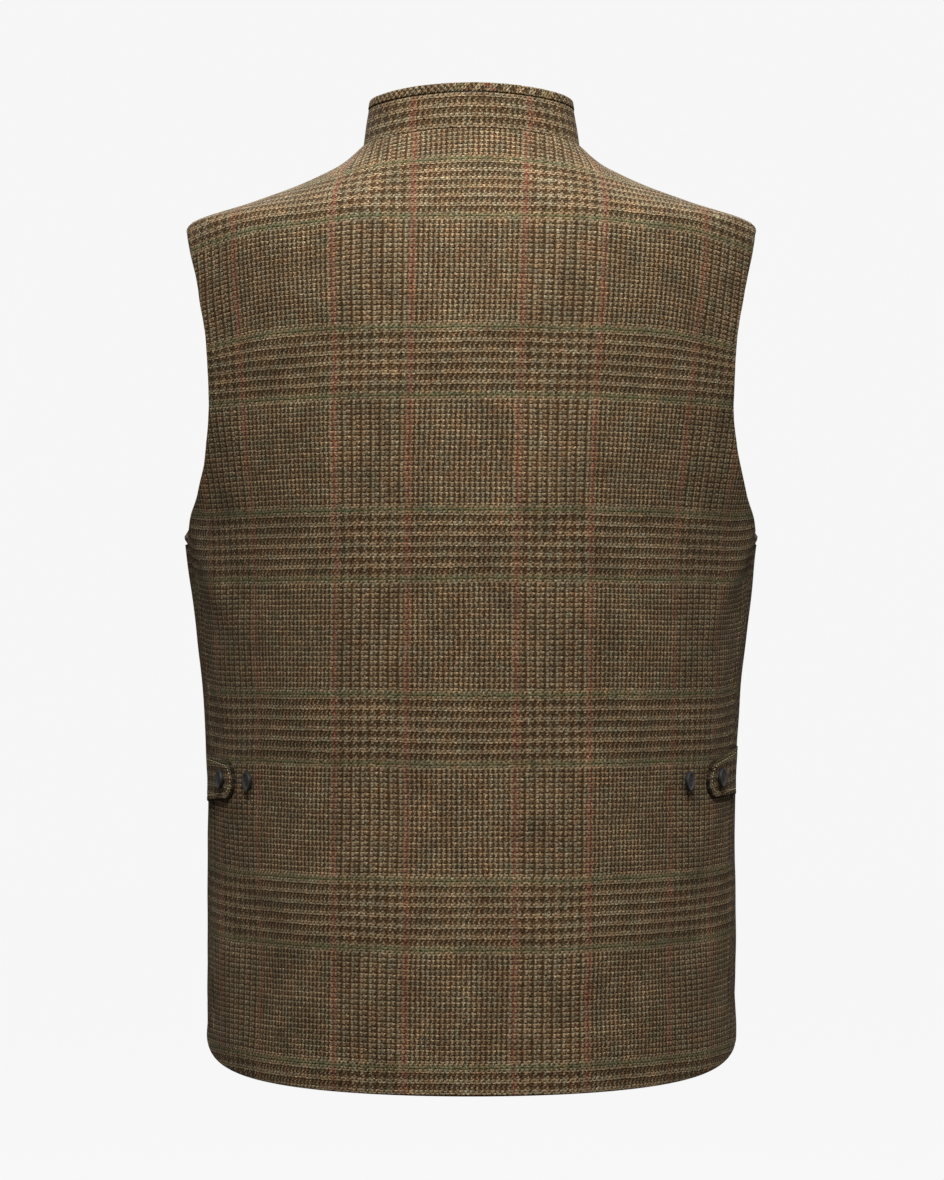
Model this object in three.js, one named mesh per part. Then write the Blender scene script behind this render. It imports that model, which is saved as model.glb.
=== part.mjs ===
import * as THREE from "three";

// Tweed waistcoat with a stand collar, filled out as on a wearer who stands upright.
// Millimetres, +Z up, +Y towards the wearer's front, +X towards the wearer's right.
// The origin is the middle of the neckline, level with the collar seam at centre back.

// Cloth
const WALL = 2;
const SEAM_GAP = 0.3;

// Heights of the cut lines at centre back
const HEM = -720;
const UNDERARM = -303;
const SHOULDER_TIP = -66;
const NECKLINE = 0;

// Hem: it rises to the sides, mostly near them, and the rise fades out above
const HEM_RISE = 30;
const HEM_RISE_POWER = 4.1;
const HEM_RISE_FADE = 150;

// Side seam and shoulder seam, as degrees round the body from centre back
const SIDE_SEAM = 78.3;
const SHOULDER_SEAM = 90;
const CENTRE_FRONT = 180;

// Front closing: the wearer's left front laps over the right one
const LAP = 20;
const LAP_DROP = WALL + 0.4;
const LAP_DROP_END = 25;
const LAP_DROP_START = 65;

// Stand collar with a bound edge
const COLLAR_HEIGHT = 35;
const COLLAR_WALL = 2.4;
const COLLAR_LEAN = 5.5;
const COLLAR_SEAM_GAP = 0.5;
const COLLAR_CORNER = 12;
const COLLAR_END_GAP = 1;
const BINDING_WIDTH = 7.5;
const BINDING_PROUD = 0.6;

// Waist tabs: cut into the side seams, buttoned towards the centre of the back
const TAB_LENGTH = 54;
const TAB_STRAIGHT = 39;
const TAB_SEAM_HALF = 19.2;
const TAB_NECK_HALF = 15.6;
const TAB_WALL = 3;
const TAB_LIFT = 0.5;
const TAB_BUTTON_FROM_TIP = 15;
const TABS = [
  { name: "left", hand: -1, seamLevel: -488.5, tipLevel: -490, spareFromSeam: 75 },
  { name: "right", hand: 1, seamLevel: -483, tipLevel: -490, spareFromSeam: 82 },
];

// Horn buttons
const SMALL_BUTTON_RADIUS = 7.6;
const FRONT_BUTTON_RADIUS = 10;
const BUTTON_THICKNESS = 3.2;
const BUTTON_SEGMENTS = 16;
const FRONT_BUTTON_COUNT = 6;
const FRONT_BUTTON_TOP = -86;
const FRONT_BUTTON_PITCH = 105;

// Grid steps
const STEPS = { skirt: 14, shoulder: 5, back: 30, front: 14, collar: 36, corner: 4, tab: 6 };
const ARMHOLE_LEVELS = [-297, -289, -279, -267, -252, -232, -208, -182, -156, -132, -110, -92, -78];

// Turns a table with named columns into a list of rows
function table(columns, rows) {
  return rows.map((row) => Object.fromEntries(columns.map((column, i) => [column, row[i]])));
}

// Rings round the body, from the hem to the neckline. level is the height at centre back,
// side and front the heights at the side and at centre front, half the half width at the
// side, and backY, sideY and frontY say how far forward the ring lies at those places.
// The rings go on under the arm, past the armhole edges. endFull and sideFull say how
// flat the ring is at centre back and front, and at the side.
const RINGS = table(
  ["level", "side", "front", "half", "backY", "sideY", "frontY", "endFull", "sideFull"],
  [
    [HEM, HEM, HEM, 208.3, -103, 84, 160, 0.62, 0.25],
    [-600, -600, -600, 207.5, -97, 84, 162, 0.62, 0.25],
    [-500, -500, -500, 208, -94, 84, 159, 0.62, 0.25],
    [-440, -440, -440, 210.5, -96, 84, 160, 0.62, 0.25],
    [-380, -380, -380, 216, -101, 82, 165, 0.6, 0.25],
    [UNDERARM, UNDERARM, -304, 224.3, -107, 76, 171, 0.56, 0.27],
    [-250, -250, -256, 229.4, -109, 58, 169, 0.52, 0.3],
    [-200, -200, -213, 231, -109.5, 39, 161, 0.5, 0.32],
    [-130, -130, -166, 230, -107, 18, 143, 0.5, 0.35],
    [-92, -92, -140, 225, -102, 8, 127, 0.5, 0.4],
    [SHOULDER_TIP, SHOULDER_TIP, -121, 216.5, -95, 3, 113, 0.5, 0.45],
    [-48, -49, -106, 169, -87, 1, 100, 0.5, 0.5],
    [-37, -38, -97, 138, -81, 0, 93, 0.51, 0.51],
    [-29, -31, -89, 121.5, -77, 0, 87, 0.52, 0.52],
    [-16, -20, -76, 100, -70, 0, 76, 0.54, 0.54],
    [NECKLINE, -5, -60, 82.5, -62, 0, 63, 0.55, 0.55],
  ],
);

// Armhole edges: how far round the ring the back panel ends and the front begins
const ARMHOLE = table(["level", "back", "front"], [
  [UNDERARM, SIDE_SEAM, SIDE_SEAM],
  [-297, 77.8, 96],
  [-288, 75.5, 106],
  [-272, 69.8, 116],
  [-240, 63.8, 126],
  [-200, 61.3, 131],
  [-156, 62.6, 131],
  [-120, 66.5, 125],
  [-92, 73, 114],
  [-76, 78.8, 103],
  [SHOULDER_TIP, SHOULDER_SEAM, SHOULDER_SEAM],
]);

// Largest folds: centre as degrees round and height, half length and half width in mm,
// lean in degrees from upright, and depth in mm, inwards where it is negative
const FOLDS = table(["turn", "level", "length", "width", "lean", "depth"], [
  [66, -330, 46, 15, 38, 2.6],
  [-65, -334, 50, 16, -36, 2.8],
  [0, -455, 150, 60, 0, -2.4],
  [30, -470, 120, 24, 10, 1.8],
  [-33, -478, 130, 26, -12, 1.9],
  [56, -600, 64, 20, 24, -1.8],
  [-54, -606, 70, 22, -22, -2],
  [112, -345, 60, 18, -34, 2.6],
  [-113, -350, 64, 18, 36, 2.6],
  [150, -470, 120, 26, 8, 2],
  [-148, -480, 130, 28, -10, 2],
]);

// Smooth value of one column at a height, with no overshoot between the rows
function columnAt(rows, column, level) {
  const last = rows.length - 1;
  const slope = (k) => {
    if (k < 0 || k >= last) {
      return null;
    }
    return (rows[k + 1][column] - rows[k][column]) / (rows[k + 1].level - rows[k].level);
  };
  const tangent = (k) => {
    const below = slope(k - 1);
    const above = slope(k);
    if (below === null || above === null) {
      return below ?? above;
    }
    return below * above > 0 ? (2 * below * above) / (below + above) : 0;
  };
  const held = THREE.MathUtils.clamp(level, rows[0].level, rows[last].level);
  let k = 0;
  while (k < last - 1 && held > rows[k + 1].level) {
    k += 1;
  }
  const span = rows[k + 1].level - rows[k].level;
  const t = (held - rows[k].level) / span;
  const s = 1 - t;
  return (
    rows[k][column] * (1 + 2 * t) * s * s +
    rows[k + 1][column] * (3 - 2 * t) * t * t +
    tangent(k) * span * t * s * s -
    tangent(k + 1) * span * t * t * s
  );
}

// Ring at a height, as one value for each column
function ringAt(level) {
  const names = Object.keys(RINGS[0]).slice(1);
  return Object.fromEntries(names.map((name) => [name, columnAt(RINGS, name, level)]));
}

// Hem rise at a share of the way from centre back or centre front to the side
function hemRise(share, level) {
  const fade = 1 - THREE.MathUtils.smoothstep(level, HEM, HEM + HEM_RISE_FADE);
  return HEM_RISE * fade * Math.abs(share) ** HEM_RISE_POWER;
}

// Sum of the folds at a point of the body
function foldDepth(turn, level, half) {
  const millimetresPerDegree = (half * 1.3) / SHOULDER_SEAM;
  return FOLDS.reduce((sum, fold) => {
    const lean = THREE.MathUtils.degToRad(fold.lean);
    const across = (turn - fold.turn) * millimetresPerDegree;
    const up = level - fold.level;
    const along = up * Math.cos(lean) + across * Math.sin(lean);
    const beside = across * Math.cos(lean) - up * Math.sin(lean);
    return sum + fold.depth * Math.exp(-((along / fold.length) ** 2) - (beside / fold.width) ** 2);
  }, 0);
}

// Point of the outer face. Each quarter of a ring is one cubic curve from centre back or
// centre front to the side; turns past centre front run on into the lap.
function body(level, turn) {
  const ring = ringAt(level);
  const hand = Math.sign(turn) || 1;
  const degrees = Math.abs(turn);
  const behind = degrees <= SHOULDER_SEAM;
  const t = behind ? degrees / SHOULDER_SEAM : (CENTRE_FRONT - degrees) / SHOULDER_SEAM;
  const endFull = behind ? ring.endFull : ring.endFull + 0.08;
  const endY = behind ? ring.backY : ring.frontY;
  const s = 1 - t;
  const x = ring.half * (3 * endFull * t * s * s + 3 * t * t * s + t ** 3);
  const inward = 3 * t * t * s * (1 - ring.sideFull) + t ** 3;
  const y = endY + (ring.sideY - endY) * inward;
  const endHeight = behind ? level : ring.front;
  const blend = 1 - THREE.MathUtils.smoothstep(Math.abs(t), 0, 1);
  const z = ring.side + (endHeight - ring.side) * blend + hemRise(t, level);
  const out = new THREE.Vector2(x / ring.half ** 2, (y - ring.sideY) / (endY - ring.sideY) ** 2);
  out.normalize().multiplyScalar(foldDepth(turn, level, ring.half));
  return new THREE.Vector3(hand * (x + out.x), y + out.y, z);
}

// Unit normal of the outer face, level along the neckline so that the collar sits on it
function bodyNormal(level, turn) {
  const step = 0.4;
  const lower = Math.max(level - step, HEM);
  const upper = Math.min(level + step, NECKLINE);
  const up = body(upper, turn).sub(body(lower, turn));
  const round = body(level, turn + step).sub(body(level, turn - step));
  const normal = round.cross(up).normalize();
  normal.z *= 1 - THREE.MathUtils.smoothstep(level, NECKLINE - 12, NECKLINE);
  return normal.normalize();
}

function bodyPoint(level, turn, out) {
  return body(level, turn).addScaledVector(bodyNormal(level, turn), out);
}

// Turn that lies a distance further round the ring, in steps short enough to be exact
function walk(level, turn, distance) {
  const count = 24;
  let at = turn;
  for (let i = 0; i < count; i += 1) {
    const speed = body(level, at + 0.5).distanceTo(body(level, at - 0.5));
    at += distance / count / speed;
  }
  return at;
}

// Closed wall between two grids of points: rows run upwards, columns anticlockwise
// seen from above, and the four edges are closed by strips
function wallGeometry(outer, inner) {
  const rows = outer.length;
  const columns = outer[0].length;
  const points = [...outer.flat(), ...inner.flat()];
  const at = (i, j) => i * columns + j;
  const below = rows * columns;
  const index = [];
  const quad = (a, b, c, d) => index.push(a, b, c, a, c, d);
  const strip = (a, b) => quad(b, a, a + below, b + below);
  for (let i = 0; i < rows - 1; i += 1) {
    for (let j = 0; j < columns - 1; j += 1) {
      quad(at(i, j), at(i, j + 1), at(i + 1, j + 1), at(i + 1, j));
      quad(
        below + at(i, j),
        below + at(i + 1, j),
        below + at(i + 1, j + 1),
        below + at(i, j + 1),
      );
    }
    strip(at(i, columns - 1), at(i + 1, columns - 1));
    strip(at(i + 1, 0), at(i, 0));
  }
  for (let j = 0; j < columns - 1; j += 1) {
    strip(at(0, j), at(0, j + 1));
    strip(at(rows - 1, j + 1), at(rows - 1, j));
  }
  return closedGeometry(points, index);
}

// Closed bar through a list of loops with equal numbers of points, with flat ends
function barGeometry(loops) {
  const count = loops[0].length;
  const points = loops.flat();
  const index = [];
  for (let k = 0; k < loops.length - 1; k += 1) {
    for (let i = 0; i < count; i += 1) {
      const next = (i + 1) % count;
      const a = k * count + i;
      const b = k * count + next;
      index.push(a, b, b + count, a, b + count, a + count);
    }
  }
  const end = (loops.length - 1) * count;
  for (let i = 1; i < count - 1; i += 1) {
    index.push(0, i + 1, i);
    index.push(end, end + i, end + i + 1);
  }
  return closedGeometry(points, index);
}

function closedGeometry(points, index) {
  const geometry = new THREE.BufferGeometry();
  geometry.setFromPoints(points);
  geometry.setIndex(index);
  geometry.computeVertexNormals();
  return geometry;
}

// Materials
const tweed = { color: "#64543e", roughness: 0.95, metalness: 0 };
const binding = { color: "#6f5d45", roughness: 0.95, metalness: 0 };
const horn = { color: "#2b2320", roughness: 0.35, metalness: 0 };

const waistcoat = new THREE.Group();

function addPiece(name, geometry, look) {
  const piece = new THREE.Mesh(geometry, new THREE.MeshStandardMaterial(look));
  piece.name = name;
  waistcoat.add(piece);
  return piece;
}

// Heights of the grid rows of a panel, hem to neckline
function panelLevels() {
  const skirt = Array.from({ length: STEPS.skirt + 1 }, (_, i) =>
    THREE.MathUtils.lerp(HEM, UNDERARM, i / STEPS.skirt),
  );
  const shoulder = Array.from({ length: STEPS.shoulder + 1 }, (_, i) =>
    THREE.MathUtils.lerp(SHOULDER_TIP, NECKLINE, i / STEPS.shoulder),
  );
  return [...skirt, ...ARMHOLE_LEVELS, ...shoulder];
}

// Turn of a panel's outer edge: side seam, armhole or shoulder seam, by the height
function edgeTurn(level, panel) {
  if (level <= UNDERARM) {
    return SIDE_SEAM;
  }
  return level >= SHOULDER_TIP ? SHOULDER_SEAM : columnAt(ARMHOLE, panel, level);
}

// Half a seam gap as degrees of turn
function gapTurn(level, turn) {
  return walk(level, turn, SEAM_GAP / 2) - turn;
}

// Panel between two turns that depend on the height, let in by a depth from the outer face
function panelGeometry(firstTurn, lastTurn, columns, depthAt) {
  const outer = [];
  const inner = [];
  for (const level of panelLevels()) {
    const first = firstTurn(level);
    const last = lastTurn(level);
    const turns = Array.from({ length: columns + 1 }, (_, j) =>
      THREE.MathUtils.lerp(first, last, j / columns),
    );
    outer.push(turns.map((turn) => bodyPoint(level, turn, -depthAt(level, turn))));
    inner.push(turns.map((turn) => bodyPoint(level, turn, -depthAt(level, turn) - WALL)));
  }
  return wallGeometry(outer, inner);
}

// Back: one panel from side seam to side seam
function backEdge(level) {
  const turn = edgeTurn(level, "back");
  return turn - gapTurn(level, turn);
}

addPiece(
  "back",
  panelGeometry((level) => -backEdge(level), backEdge, STEPS.back, () => 0),
  tweed,
);

// Fronts: from the side seam past centre front by the lap
function frontEdge(level) {
  const turn = edgeTurn(level, "front");
  return turn + gapTurn(level, turn);
}

function lapTurn(level) {
  return walk(level, CENTRE_FRONT, LAP);
}

function lapDrop(level, turn) {
  const x = body(level, turn).x;
  return LAP_DROP * (1 - THREE.MathUtils.smoothstep(x, LAP_DROP_END, LAP_DROP_START));
}

addPiece(
  "front_left",
  panelGeometry((level) => -lapTurn(level), (level) => -frontEdge(level), STEPS.front, () => 0),
  tweed,
);
addPiece("front_right", panelGeometry(frontEdge, lapTurn, STEPS.front, lapDrop), tweed);

// Neckline length from centre back to centre front, and the turn at a distance along it
const NECK_SAMPLES = 180;
const neckLengths = [0];
for (let i = 1; i <= NECK_SAMPLES; i += 1) {
  const from = body(NECKLINE, (CENTRE_FRONT * (i - 1)) / NECK_SAMPLES);
  const to = body(NECKLINE, (CENTRE_FRONT * i) / NECK_SAMPLES);
  neckLengths.push(neckLengths[i - 1] + from.distanceTo(to));
}
const NECK_LENGTH = neckLengths[NECK_SAMPLES];

function neckTurn(distance) {
  const reach = Math.min(Math.abs(distance), NECK_LENGTH);
  let i = 1;
  while (i < NECK_SAMPLES && neckLengths[i] < reach) {
    i += 1;
  }
  const part = (reach - neckLengths[i - 1]) / (neckLengths[i] - neckLengths[i - 1]);
  return (Math.sign(distance) * CENTRE_FRONT * (i - 1 + part)) / NECK_SAMPLES;
}

// Point of the collar: a distance along the neckline from centre back, a height above
// the seam and a distance out from the outer face. The collar leans in towards its top.
function collarPoint(distance, height, out) {
  const turn = neckTurn(distance);
  const point = body(NECKLINE, turn);
  const lean = (COLLAR_LEAN * height) / COLLAR_HEIGHT;
  point.addScaledVector(bodyNormal(NECKLINE, turn), out - lean);
  point.z += COLLAR_SEAM_GAP + height;
  return point;
}

// Collar wall: its upper corners at centre front are round
const COLLAR_END = NECK_LENGTH - COLLAR_END_GAP - BINDING_WIDTH - SEAM_GAP;
const COLLAR_WALL_HEIGHT = COLLAR_HEIGHT - BINDING_WIDTH - SEAM_GAP;

function cornerPoint(angle) {
  return {
    distance: COLLAR_END - COLLAR_CORNER + COLLAR_CORNER * Math.sin(angle),
    height: COLLAR_WALL_HEIGHT - COLLAR_CORNER + COLLAR_CORNER * Math.cos(angle),
    angle,
  };
}

// Upper outline of the collar wall from its left end to its right end
function collarOutline() {
  const straight = COLLAR_END - COLLAR_CORNER;
  const corner = Array.from({ length: STEPS.corner }, (_, i) =>
    cornerPoint((((i + 1) / STEPS.corner) * Math.PI) / 2),
  );
  const mirrored = corner.map((p) => ({ ...p, distance: -p.distance, angle: -p.angle })).reverse();
  const top = Array.from({ length: STEPS.collar + 1 }, (_, i) => ({
    distance: THREE.MathUtils.lerp(-straight, straight, i / STEPS.collar),
    height: COLLAR_WALL_HEIGHT,
    angle: 0,
  }));
  return [...mirrored, ...top, ...corner];
}

function collarGeometry() {
  const outline = collarOutline();
  const rows = [0, 0.5, 1];
  const grid = (out) =>
    rows.map((row) => outline.map((p) => collarPoint(p.distance, row * p.height, out)));
  return wallGeometry(grid(0), grid(-COLLAR_WALL));
}

addPiece("collar", collarGeometry(), tweed);

// Binding: a folded bias strip round the collar's edge, from neckline to neckline.
// Its section is given as distance out from the collar wall's edge and distance
// from the collar's outer face.
const BINDING_SECTION = table(["away", "out"], [
  [SEAM_GAP, BINDING_PROUD],
  [SEAM_GAP, -COLLAR_WALL - BINDING_PROUD],
  [5.4, -COLLAR_WALL - BINDING_PROUD],
  [7, -COLLAR_WALL + 0.2],
  [BINDING_WIDTH, -COLLAR_WALL / 2],
  [7, -0.2],
  [5.4, BINDING_PROUD],
]);

function bindingLoop(point) {
  return BINDING_SECTION.map((corner) =>
    collarPoint(
      point.distance + corner.away * Math.sin(point.angle),
      point.height + corner.away * Math.cos(point.angle),
      corner.out,
    ),
  );
}

function bindingGeometry() {
  const outline = collarOutline();
  const first = outline[0];
  const last = outline[outline.length - 1];
  const path = [{ ...first, height: 0 }, ...outline, { ...last, height: 0 }];
  return barGeometry(path.map(bindingLoop));
}

addPiece("collar_binding", bindingGeometry(), binding);

// Waist tab: distance from the side seam and share of the half height give a turn and level
function tabHalf(distance) {
  if (distance <= TAB_STRAIGHT) {
    return THREE.MathUtils.lerp(TAB_SEAM_HALF, TAB_NECK_HALF, distance / TAB_STRAIGHT);
  }
  const past = (distance - TAB_STRAIGHT) / (TAB_LENGTH - TAB_STRAIGHT);
  return TAB_NECK_HALF * Math.sqrt(1 - past ** 2);
}

function tabPlace(tab, distance, share) {
  const part = distance / TAB_LENGTH;
  const level = THREE.MathUtils.lerp(tab.seamLevel, tab.tipLevel, part) + share * tabHalf(distance);
  const turn = walk(level, backEdge(level) - 0.1, -distance);
  return { level, turn: tab.hand * turn };
}

function tabGeometry(tab) {
  const straight = [0, 0.5, 1].map((part) => part * TAB_STRAIGHT);
  const round = [20, 40, 58, 74, 85].map((degrees) => {
    const reach = Math.sin(THREE.MathUtils.degToRad(degrees));
    return TAB_STRAIGHT + (TAB_LENGTH - TAB_STRAIGHT) * reach;
  });
  const distances = [...straight, ...round];
  const columns = tab.hand > 0 ? distances.reverse() : distances;
  const grid = (out) =>
    Array.from({ length: STEPS.tab + 1 }, (_, i) =>
      columns.map((distance) => {
        const place = tabPlace(tab, distance, (2 * i) / STEPS.tab - 1);
        return bodyPoint(place.level, place.turn, out);
      }),
    );
  return wallGeometry(grid(TAB_LIFT + TAB_WALL), grid(TAB_LIFT));
}

// Horn button: a dished disc with a round rim, its back flat
function buttonGeometry(radius) {
  const profile = [
    [0, 0],
    [radius - 1.2, 0],
    [radius, 1.1],
    [radius, 2.1],
    [radius - 1.1, BUTTON_THICKNESS],
    [radius - 2.8, BUTTON_THICKNESS - 0.9],
    [0, BUTTON_THICKNESS - 1],
  ];
  return new THREE.LatheGeometry(
    profile.map(([r, height]) => new THREE.Vector2(r, height)),
    BUTTON_SEGMENTS,
  );
}

function addButton(name, radius, level, turn, out) {
  const button = addPiece(name, buttonGeometry(radius), horn);
  button.position.copy(bodyPoint(level, turn, out));
  button.quaternion.setFromUnitVectors(new THREE.Vector3(0, 1, 0), bodyNormal(level, turn));
}

for (const tab of TABS) {
  addPiece(`tab_${tab.name}`, tabGeometry(tab), tweed);
  const place = tabPlace(tab, TAB_LENGTH - TAB_BUTTON_FROM_TIP, 0);
  const proud = TAB_LIFT + TAB_WALL + SEAM_GAP;
  addButton(`tab_button_${tab.name}`, SMALL_BUTTON_RADIUS, place.level, place.turn, proud);
  const spareTurn = walk(tab.tipLevel, SIDE_SEAM, -tab.spareFromSeam);
  addButton(
    `waist_button_${tab.name}`,
    SMALL_BUTTON_RADIUS,
    tab.tipLevel,
    tab.hand * spareTurn,
    SEAM_GAP,
  );
}

// Front buttons down centre front: the level whose ring passes each button's height there
function levelAtFront(height) {
  let low = HEM;
  let high = NECKLINE;
  for (let i = 0; i < 30; i += 1) {
    const middle = (low + high) / 2;
    if (columnAt(RINGS, "front", middle) < height) {
      low = middle;
    } else {
      high = middle;
    }
  }
  return low;
}

for (let i = 0; i < FRONT_BUTTON_COUNT; i += 1) {
  const level = levelAtFront(FRONT_BUTTON_TOP - i * FRONT_BUTTON_PITCH);
  addButton(`front_button_${i + 1}`, FRONT_BUTTON_RADIUS, level, -CENTRE_FRONT, SEAM_GAP);
}

export default waistcoat;
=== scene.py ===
import math

import bmesh
import bpy
import numpy as np
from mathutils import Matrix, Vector


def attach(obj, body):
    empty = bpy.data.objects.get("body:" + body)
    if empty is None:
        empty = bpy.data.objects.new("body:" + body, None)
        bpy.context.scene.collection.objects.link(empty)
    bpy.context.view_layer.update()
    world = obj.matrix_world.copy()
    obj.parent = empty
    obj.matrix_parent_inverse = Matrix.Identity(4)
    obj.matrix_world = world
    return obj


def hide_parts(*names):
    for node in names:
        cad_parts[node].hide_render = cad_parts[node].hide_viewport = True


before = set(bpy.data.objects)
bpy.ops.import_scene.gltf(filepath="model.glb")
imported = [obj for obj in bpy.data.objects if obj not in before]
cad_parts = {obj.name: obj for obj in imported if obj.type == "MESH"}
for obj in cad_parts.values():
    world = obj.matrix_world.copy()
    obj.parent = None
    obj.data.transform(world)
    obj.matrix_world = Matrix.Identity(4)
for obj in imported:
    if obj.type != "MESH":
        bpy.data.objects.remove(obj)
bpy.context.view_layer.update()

bl_info = {
    "name": "Tweed waistcoat",
    "version": (1, 0, 0),
    "blender": (4, 5, 0),
    "location": "3D View > Sidebar > Waistcoat",
    "description": "Cuts and sews a checked tweed waistcoat with a stand collar",
    "category": "Mesh",
}

# Lengths are in millimetres up to the mesh, which is in metres.
MILLIMETRE = 0.001

# Cut lines, cloth and trimmings, as the part has them
WALL = 2.0
SEAM_GAP = 0.3
HEM = -720.0
UNDERARM = -303.0
SHOULDER_TIP = -66.0
NECKLINE = 0.0
HEM_RISE = 30.0
HEM_RISE_POWER = 4.1
HEM_RISE_FADE = 150.0
SIDE_SEAM = 78.3
SHOULDER_SEAM = 90.0
CENTRE_FRONT = 180.0
LAP = 20.0
LAP_DROP = WALL + 0.4
LAP_DROP_SPAN = (25.0, 65.0)
COLLAR_HEIGHT = 35.0
COLLAR_WALL = 2.4
COLLAR_LEAN = 5.5
COLLAR_SEAM_GAP = 0.5
COLLAR_CORNER = 12.0
COLLAR_END_GAP = 1.0
COLLAR_STRETCH = 1.15
BINDING_WIDTH = 7.5
BINDING_PROUD = 0.6
BINDING_CLOTH = 0.9
BINDING_ROUND = 2.1
TAB_LENGTH = 54.0
TAB_STRAIGHT = 39.0
TAB_SEAM_HALF = 19.2
TAB_NECK_HALF = 15.6
TAB_WALL = 3.0
TAB_LIFT = 0.5
TAB_CREST = TAB_LIFT + TAB_WALL - 0.15
TAB_BUTTON_FROM_TIP = 15.0
TAB_BUTTON_LEAN = 9.0
SPARE_BUTTON_LEAN = 15.0
STITCH_INSET = 4.6
STITCH_PITCH = 4.6
STITCH_START = 3.0
STITCH_HALF = 0.23 * STITCH_PITCH
STITCH_SUNK = 0.42
STITCH_RISE = 0.56
STITCH_RADIUS = 0.36
HOLE_SPACING = 0.2
HOLE_RADIUS = 0.105
SMALL_HOLE = 17.0
FRONT_HOLE = 23.0
BAR_PITCH = 0.72
TABS = {"left": (-1, -488.5, -490.0), "right": (1, -483.0, -490.0)}
SPARE_FROM_SEAM = {"left": 75.0, "right": 82.0}
SMALL_BUTTON_RADIUS = 7.6
FRONT_BUTTON_RADIUS = 10.0
BUTTON_THICKNESS = 3.2
FRONT_BUTTON_COUNT = 6
FRONT_BUTTON_TOP = -86.0
FRONT_BUTTON_PITCH = 105.0


def table(columns, rows):
    """Named columns of a table, each an array with one value for each row."""
    return dict(zip(columns.split(), np.array(rows, float).T))


# Rings round the body, from the hem to the neckline
RINGS = table("level side front half back_y side_y front_y end_full side_full", [
    [HEM, HEM, HEM, 208.3, -103, 84, 160, 0.62, 0.25],
    [-600, -600, -600, 207.5, -97, 84, 162, 0.62, 0.25],
    [-500, -500, -500, 208, -94, 84, 159, 0.62, 0.25],
    [-440, -440, -440, 210.5, -96, 84, 160, 0.62, 0.25],
    [-380, -380, -380, 216, -101, 82, 165, 0.6, 0.25],
    [UNDERARM, UNDERARM, -304, 224.3, -107, 76, 171, 0.56, 0.27],
    [-250, -250, -256, 229.4, -109, 58, 169, 0.52, 0.3],
    [-200, -200, -213, 231, -109.5, 39, 161, 0.5, 0.32],
    [-130, -130, -166, 230, -107, 18, 143, 0.5, 0.35],
    [-92, -92, -140, 225, -102, 8, 127, 0.5, 0.4],
    [SHOULDER_TIP, SHOULDER_TIP, -121, 216.5, -95, 3, 113, 0.5, 0.45],
    [-48, -49, -106, 169, -87, 1, 100, 0.5, 0.5],
    [-37, -38, -97, 138, -81, 0, 93, 0.51, 0.51],
    [-29, -31, -89, 121.5, -77, 0, 87, 0.52, 0.52],
    [-16, -20, -76, 100, -70, 0, 76, 0.54, 0.54],
    [NECKLINE, -5, -60, 82.5, -62, 0, 63, 0.55, 0.55],
])
ARMHOLE = table("level back front", [
    [UNDERARM, SIDE_SEAM, SIDE_SEAM],
    [-297, 77.8, 96],
    [-288, 75.5, 106],
    [-272, 69.8, 116],
    [-240, 63.8, 126],
    [-200, 61.3, 131],
    [-156, 62.6, 131],
    [-120, 66.5, 125],
    [-92, 73, 114],
    [-76, 78.8, 103],
    [SHOULDER_TIP, SHOULDER_SEAM, SHOULDER_SEAM],
])

# A quarter of a ring is about this many times its half width
QUARTER_RING = 1.3
# The front's quarters are fuller at their middle than the back's
FRONT_FULLER = 0.08

# Folds of the part: place, half length, half width, lean in degrees and depth
LARGE_FOLDS = table("turn level length width lean depth", [
    [66, -330, 46, 15, 38, 2.6],
    [-65, -334, 50, 16, -36, 2.8],
    [0, -455, 150, 60, 0, -2.4],
    [30, -470, 120, 24, 10, 1.8],
    [-33, -478, 130, 26, -12, 1.9],
    [56, -600, 64, 20, 24, -1.8],
    [-54, -606, 70, 22, -22, -2],
    [112, -345, 60, 18, -34, 2.6],
    [-113, -350, 64, 18, 36, 2.6],
    [150, -470, 120, 26, 8, 2],
    [-148, -480, 130, 28, -10, 2],
])

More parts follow.
